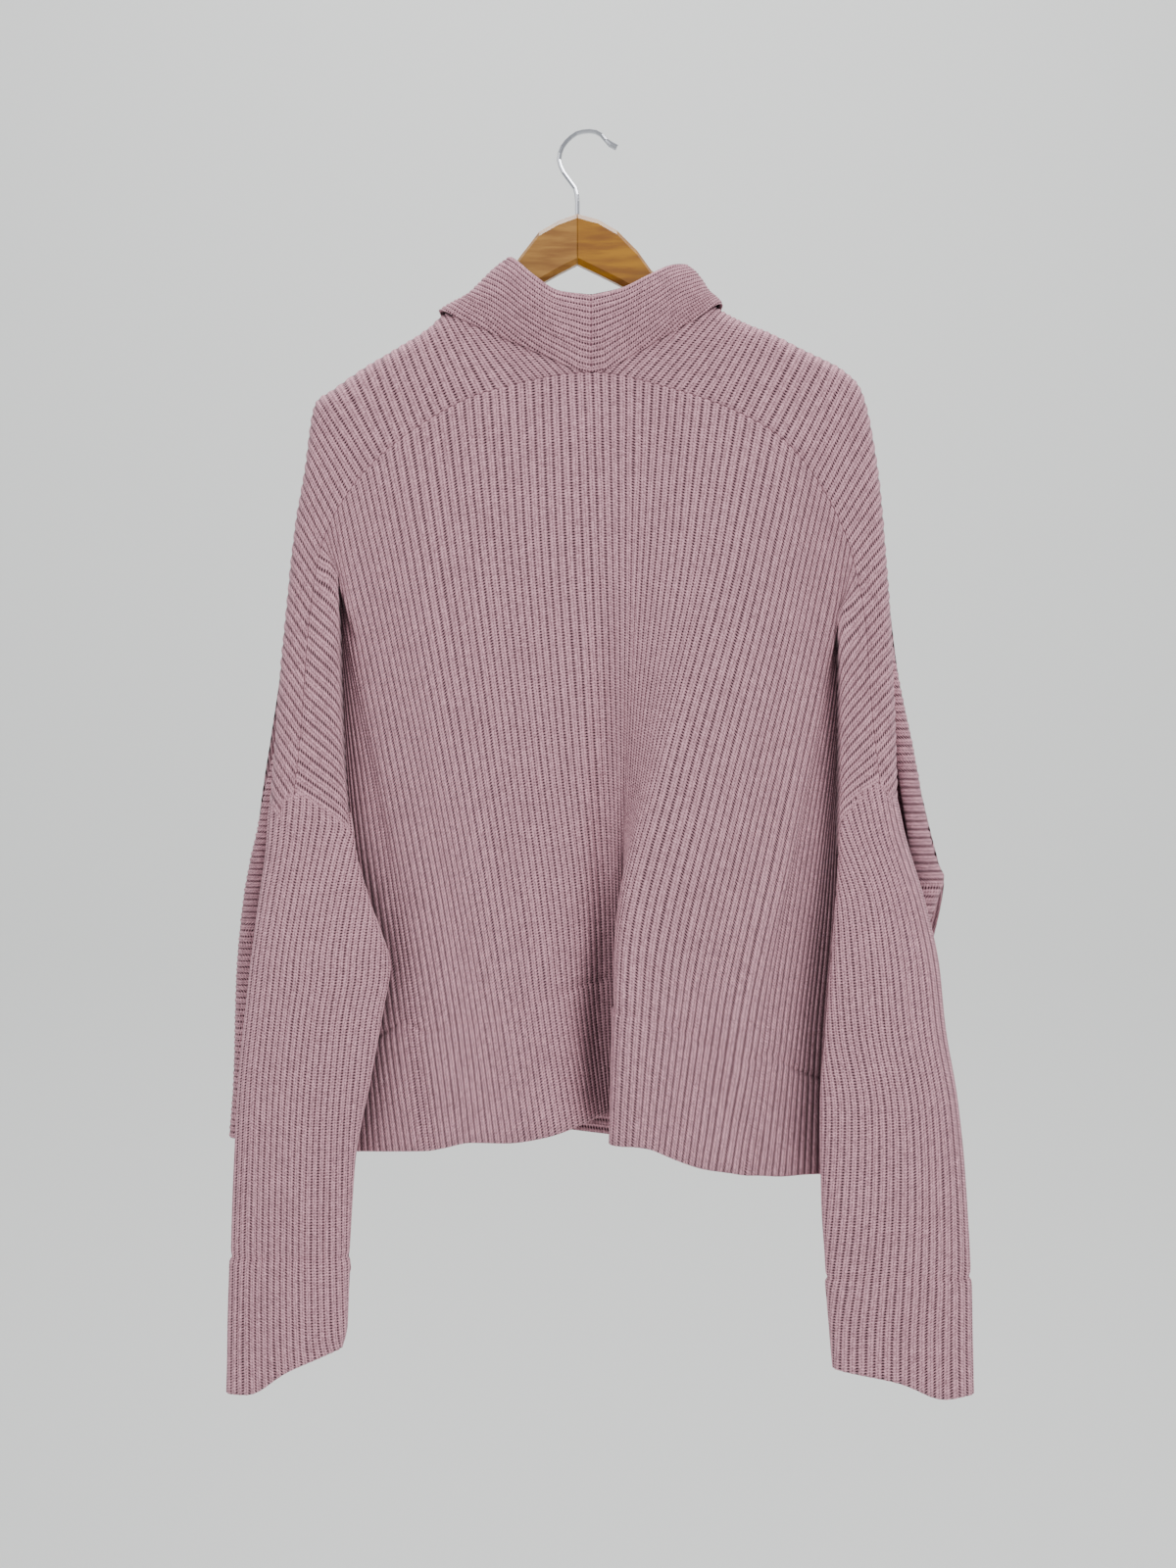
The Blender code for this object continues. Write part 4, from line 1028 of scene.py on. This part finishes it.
def glue_line(wood):
    """The thin joint between the hanger's two halves."""
    flat_y, wide_y = JOINT_DEEP
    (top, top_corner), (bottom, bottom_corner) = JOINT_Z
    section = [(-wide_y, top_corner), (-flat_y, top), (flat_y, top), (wide_y, top_corner),
               (wide_y, bottom_corner), (flat_y, bottom), (-flat_y, bottom), (-wide_y, bottom_corner)]
    points = [(x, y, z) for x in (JOINT_X - JOINT_HALF, JOINT_X + JOINT_HALF) for y, z in section]
    n = len(section)
    sides = [(k, (k + 1) % n, n + (k + 1) % n, n + k) for k in range(n)]
    end = np.array([(0, 1, 2, 3), (0, 3, 4, 7), (7, 4, 5, 6)])
    faces = np.concatenate([sides, end, end + n])
    made = mesh_object("glue_line", points, faces, np.zeros((len(faces), 4, 2)))
    wear(made, wood, None)


# ---- The photographer's side ----

def studio():
    """Soft lights, and the camera level with the sweater's middle."""
    scene = bpy.context.scene
    world = bpy.data.worlds.new("studio")
    world.use_nodes = True
    background = world.node_tree.nodes["Background"].inputs
    background["Color"].default_value = WORLD_COLOUR
    background["Strength"].default_value = WORLD_LIGHT
    scene.world = world
    for name, place, size, power in LIGHTS:
        lamp = bpy.data.lights.new(name, "AREA")
        lamp.shape = "SQUARE"
        lamp.size = size
        lamp.energy = power
        made = bpy.data.objects.new(name, lamp)
        made.location = place
        made.rotation_euler = (Vector(AIM) - Vector(place)).to_track_quat("-Z", "Y").to_euler()
        scene.collection.objects.link(made)
    camera = bpy.data.cameras.new("camera")
    camera.sensor_fit = "VERTICAL"
    camera.sensor_height = SENSOR
    camera.lens = SENSOR * CAMERA_FAR / FRAME_HEIGHT
    view = bpy.data.objects.new("camera", camera)
    view.location = (AIM[0], -CAMERA_FAR, AIM[2])
    view.rotation_euler = (math.pi / 2, 0, 0)
    scene.collection.objects.link(view)
    scene.camera = view


def backdrop():
    """A pale floor that sweeps up into a wall."""
    front, top = (FLOOR_FRONT, FLOOR_Z), (WALL_Y, WALL_TOP)
    sweep = [(WALL_Y - SWEEP + SWEEP * math.sin(angle), FLOOR_Z + SWEEP - SWEEP * math.cos(angle))
             for angle in SWEEP_ANGLES]
    profile = [front, (WALL_Y - SWEEP, FLOOR_Z), *sweep, top]
    points = [(x, y, z) for x in (-FLOOR_HALF, FLOOR_HALF) for y, z in profile]
    n = len(profile)
    faces = np.array([(k, k + 1, n + k + 1, n + k) for k in range(n - 1)])
    floor = mesh_object("floor", points, faces, np.zeros((len(faces), 4, 2)))
    floor.data.materials.append(painted("pale_floor", FLOOR_SURFACE))


def main():
    """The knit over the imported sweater, the hanger's materials, and the studio."""
    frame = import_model()
    knit = knit_material()
    wood_left = wood_material("wood_left", WOOD_LEFT)
    wood_right = wood_material("wood_right", WOOD_RIGHT)
    make_back(knit)
    make_front("front_left", knit, LEFT_SHOULDER, RIGHT_SIDE, 0)
    make_front("front_right", knit, RIGHT_SHOULDER, LEFT_SIDE, LAYER_GAP)
    make_collar("collar_left", knit, LEFT_FOLD, RIGHT_SIDE, 0, LEFT_RIM)
    make_collar("collar_right", knit, RIGHT_FOLD, LEFT_SIDE, LAYER_GAP, RIGHT_RIM)
    make_sleeve("sleeve_left", knit, LEFT_SLEEVE, LEFT_SLEEVE_RIBS)
    make_sleeve("sleeve_right", knit, RIGHT_SLEEVE, RIGHT_SLEEVE_RIBS)
    seams(painted("thread", THREAD_SURFACE))
    glue_line(wood_left)
    hanger = {
        "hanger_arm_left": wood_left,
        "hanger_arm_right": wood_right,
        "hanger_hook": painted("steel", STEEL_SURFACE),
    }
    for node, material in hanger.items():
        shown = frame["nodes"][node].data
        shown.materials.clear()
        shown.materials.append(material)
        for polygon in shown.polygons:
            polygon.use_smooth = True
    backdrop()
    studio()


main()
